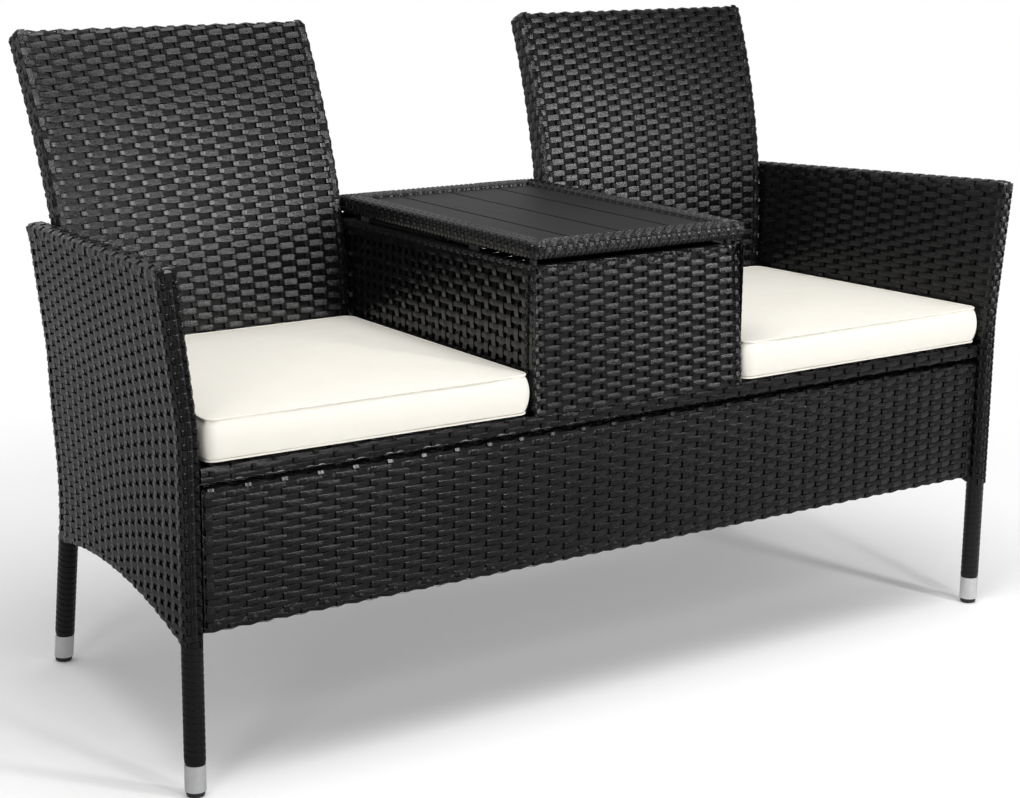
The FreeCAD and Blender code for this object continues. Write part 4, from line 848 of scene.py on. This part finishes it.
bpy.ops.object.select_all(action="DESELECT")
pad.select_set(True)
bpy.context.view_layer.objects.active = pad
pad.data.remesh_voxel_size = PAD_GRAIN
bpy.ops.object.voxel_remesh()
count = len(pad.data.vertices)
start = np.zeros(3 * count)
pad.data.vertices.foreach_get("co", start)
facing = np.zeros(3 * count)
pad.data.vertices.foreach_get("normal", facing)
held = pad.vertex_groups.new(name="seam")
tilt = np.abs(facing[2::3])
at_seam = np.nonzero((tilt > BAND_TILT) & (tilt < TOP_TILT))[0]
held.add([int(k) for k in at_seam], 1.0, "REPLACE")
cloth = pad.modifiers.new("cloth", "CLOTH")
cloth.settings.use_pressure = True
cloth.settings.uniform_pressure_force = PRESSURE
cloth.settings.effector_weights.gravity = 0
cloth.settings.vertex_group_mass = "seam"
for tick in range(1, TICKS + 1):
    bpy.context.scene.frame_set(tick)
bpy.ops.object.modifier_apply(modifier="cloth")
puffed = np.zeros(3 * count)
pad.data.vertices.foreach_get("co", puffed)
move = (puffed - start).reshape(-1, 3)
far = np.linalg.norm(move, axis=1, keepdims=True)
move *= CROWN * np.tanh(far / CROWN) / np.maximum(far, 1e-9)
puffed = start.reshape(-1, 3) + move
swell = 1 - ((puffed[:, 2] - (SEAM_LOW + SEAM_HIGH) / 2) / ((SEAM_HIGH - SEAM_LOW) / 2)) ** 2
on_band = tilt < BAND_TILT
bulge = facing.reshape(-1, 3)[:, :2] * (np.clip(swell, 0, 1) * on_band)[:, None]
puffed[:, :2] = start.reshape(-1, 3)[:, :2] + bulge * BELLY + move[:, :2] * ~on_band[:, None]
puffed[:, 2] = np.maximum(puffed[:, 2], cover_low.z + OFF_DECK)
pad.data.vertices.foreach_set("co", puffed.ravel())
bpy.context.scene.frame_set(1)
finer = pad.modifiers.new("finer", "SUBSURF")
finer.levels = 1
bpy.ops.object.modifier_apply(modifier="finer")
bpy.ops.object.shade_smooth()
pad = join([pad, *welts])
pad.data.materials.clear()
pad.data.materials.append(cream)
left_pad = mirrored(pad, "left_cushion_pad")
pad.name = "right_cushion_pad"
settle(pad, "right_cushion", "cushion_cloth", "right_cushion_cover", "right_cushion_foam")
settle(left_pad, "left_cushion", "cushion_cloth", "left_cushion_cover", "left_cushion_foam")


# The studio: a pale floor that keeps the bench's shadow near it and turns white further out, a large
# soft lamp above, tall narrow ones along the front that draw out the weave, and the camera.
FLOOR_TONE, FLOOR_REFLECTED_SHADE = 0.93, (0.2, 0.8)  # as lit, and the painted shade that reflections show of it, darker in front and lighter behind
SHADOW_FADE = (0.6, 1.6)  # between these distances the floor turns white
WORLD_LIGHT = (0.03, 0.70)  # in front and behind
bpy.ops.object.select_all(action="DESELECT")
bpy.ops.mesh.primitive_plane_add(size=80)
ground = bpy.context.object
ground.name = "studio_floor"
paper, tree, shader = new_finish("studio_paper")
spot = wire(tree, "ShaderNodeTexCoord", {}).outputs["Object"]
away = wire(tree, "ShaderNodeVectorMath", {0: spot}, operation="LENGTH").outputs["Value"]
fade = wire(tree, "ShaderNodeMapRange", {"Value": away, "From Min": SHADOW_FADE[0],
                                         "From Max": SHADOW_FADE[1]}, interpolation_type="SMOOTHSTEP")
eye = wire(tree, "ShaderNodeLightPath", {})
seen = wire(tree, "ShaderNodeMath", {0: fade.outputs[0], 1: eye.outputs["Is Camera Ray"]},
            operation="MULTIPLY")
glow = wire(tree, "ShaderNodeEmission", {"Color": (1, 1, 1, 1), "Strength": 1.0})
depth = wire(tree, "ShaderNodeVectorMath", {0: spot, 1: (0.7, 1.0, 0.0)}, operation="DOT_PRODUCT")
behind = wire(tree, "ShaderNodeMapRange", {"Value": depth.outputs["Value"], "From Min": -0.6,
                                           "From Max": 0.9, "To Min": FLOOR_REFLECTED_SHADE[0],
                                           "To Max": FLOOR_REFLECTED_SHADE[1]})
# Gloss rays see the floor darker in front than it is lit: painted shade in the floor's reflections
reflected_shade = wire(tree, "ShaderNodeMix", {0: eye.outputs["Is Glossy Ray"], 2: FLOOR_TONE, 3: behind.outputs[0]})
tree.links.new(reflected_shade.outputs[0], shader.inputs["Base Color"])
shader.inputs["Roughness"].default_value = 0.9
shader.inputs["Specular IOR Level"].default_value = 0.0
mixed = wire(tree, "ShaderNodeMixShader", {0: seen.outputs[0], 1: shader.outputs[0], 2: glow.outputs[0]})
tree.links.new(mixed.outputs[0], tree.nodes["Material Output"].inputs["Surface"])
ground.data.materials.append(paper)

world = bpy.data.worlds.new("studio")
bpy.context.scene.world = world
world.use_nodes = True
tree = world.node_tree
eye = wire(tree, "ShaderNodeLightPath", {})
direct = wire(tree, "ShaderNodeMath", {0: eye.outputs["Is Camera Ray"],
                                       1: eye.outputs["Is Transmission Ray"]}, operation="MAXIMUM")
depth = wire(tree, "ShaderNodeSeparateXYZ",
             {"Vector": wire(tree, "ShaderNodeTexCoord", {}).outputs["Generated"]}).outputs["Y"]
behind = wire(tree, "ShaderNodeMapRange", {"Value": depth, "From Min": -0.5, "From Max": 0.3,
                                           "To Min": WORLD_LIGHT[0], "To Max": WORLD_LIGHT[1]})
strength = wire(tree, "ShaderNodeMix", {0: direct.outputs[0], 2: behind.outputs[0], 3: 1.0})
tree.links.new(strength.outputs[0], tree.nodes["Background"].inputs["Strength"])
tree.nodes["Background"].inputs["Color"].default_value = (1, 1, 1, 1)

LAMPS = (("overhead", (-0.3, -0.6, 3.0), (0, 0, 0.3), (2.4, 1.6), 62),
         ("far_right", (2.9, -1.4, 1.6), (0, 0, 0.5), (0.3, 1.3), 2),
         ("front_right", (2.2, -2.2, 1.6), (0, 0, 0.6), (0.3, 1.5), 1.5),
         ("front_middle", (1.15, -2.6, 1.6), (0, 0, 0.6), (0.25, 1.7), 34),
         ("front", (0.1, -3.0, 1.2), (0, 0, 0.5), (0.3, 1.4), 24),
         ("front_left", (-2.9, -2.0, 1.5), (0, 0, 0.5), (0.7, 1.4), 18))
for name, place, aim, size, power in LAMPS:
    lamp = bpy.data.lights.new(name, "AREA")
    lamp.shape = "RECTANGLE"
    lamp.size, lamp.size_y = size
    lamp.energy = power
    holder = bpy.data.objects.new(name, lamp)
    holder.location = place
    holder.rotation_euler = (Vector(aim) - Vector(place)).to_track_quat("-Z", "Y").to_euler()
    bpy.context.scene.collection.objects.link(holder)

CAMERA = (-1.6788, -2.3995, 1.0411)
LENS, SENSOR = 77.37, 36
turn, dip, roll = math.radians(-34.877), math.radians(13.599), math.radians(0.587)
ahead = Vector((-math.sin(turn) * math.cos(dip), math.cos(turn) * math.cos(dip), -math.sin(dip)))
level = Vector((math.cos(turn), math.sin(turn), 0))
above = level.cross(ahead)
sideways = math.cos(roll) * level + math.sin(roll) * above
upward = math.cos(roll) * above - math.sin(roll) * level
lens = bpy.data.cameras.new("camera")
lens.sensor_fit = "HORIZONTAL"
lens.sensor_width = SENSOR
lens.lens = LENS
lens.clip_end = 200
camera = bpy.data.objects.new("camera", lens)
camera.matrix_world = Matrix.Translation(CAMERA) @ Matrix((sideways, upward, -ahead)).transposed().to_4x4()
bpy.context.scene.collection.objects.link(camera)
bpy.context.scene.camera = camera
bpy.context.scene.view_settings.view_transform = "Standard"
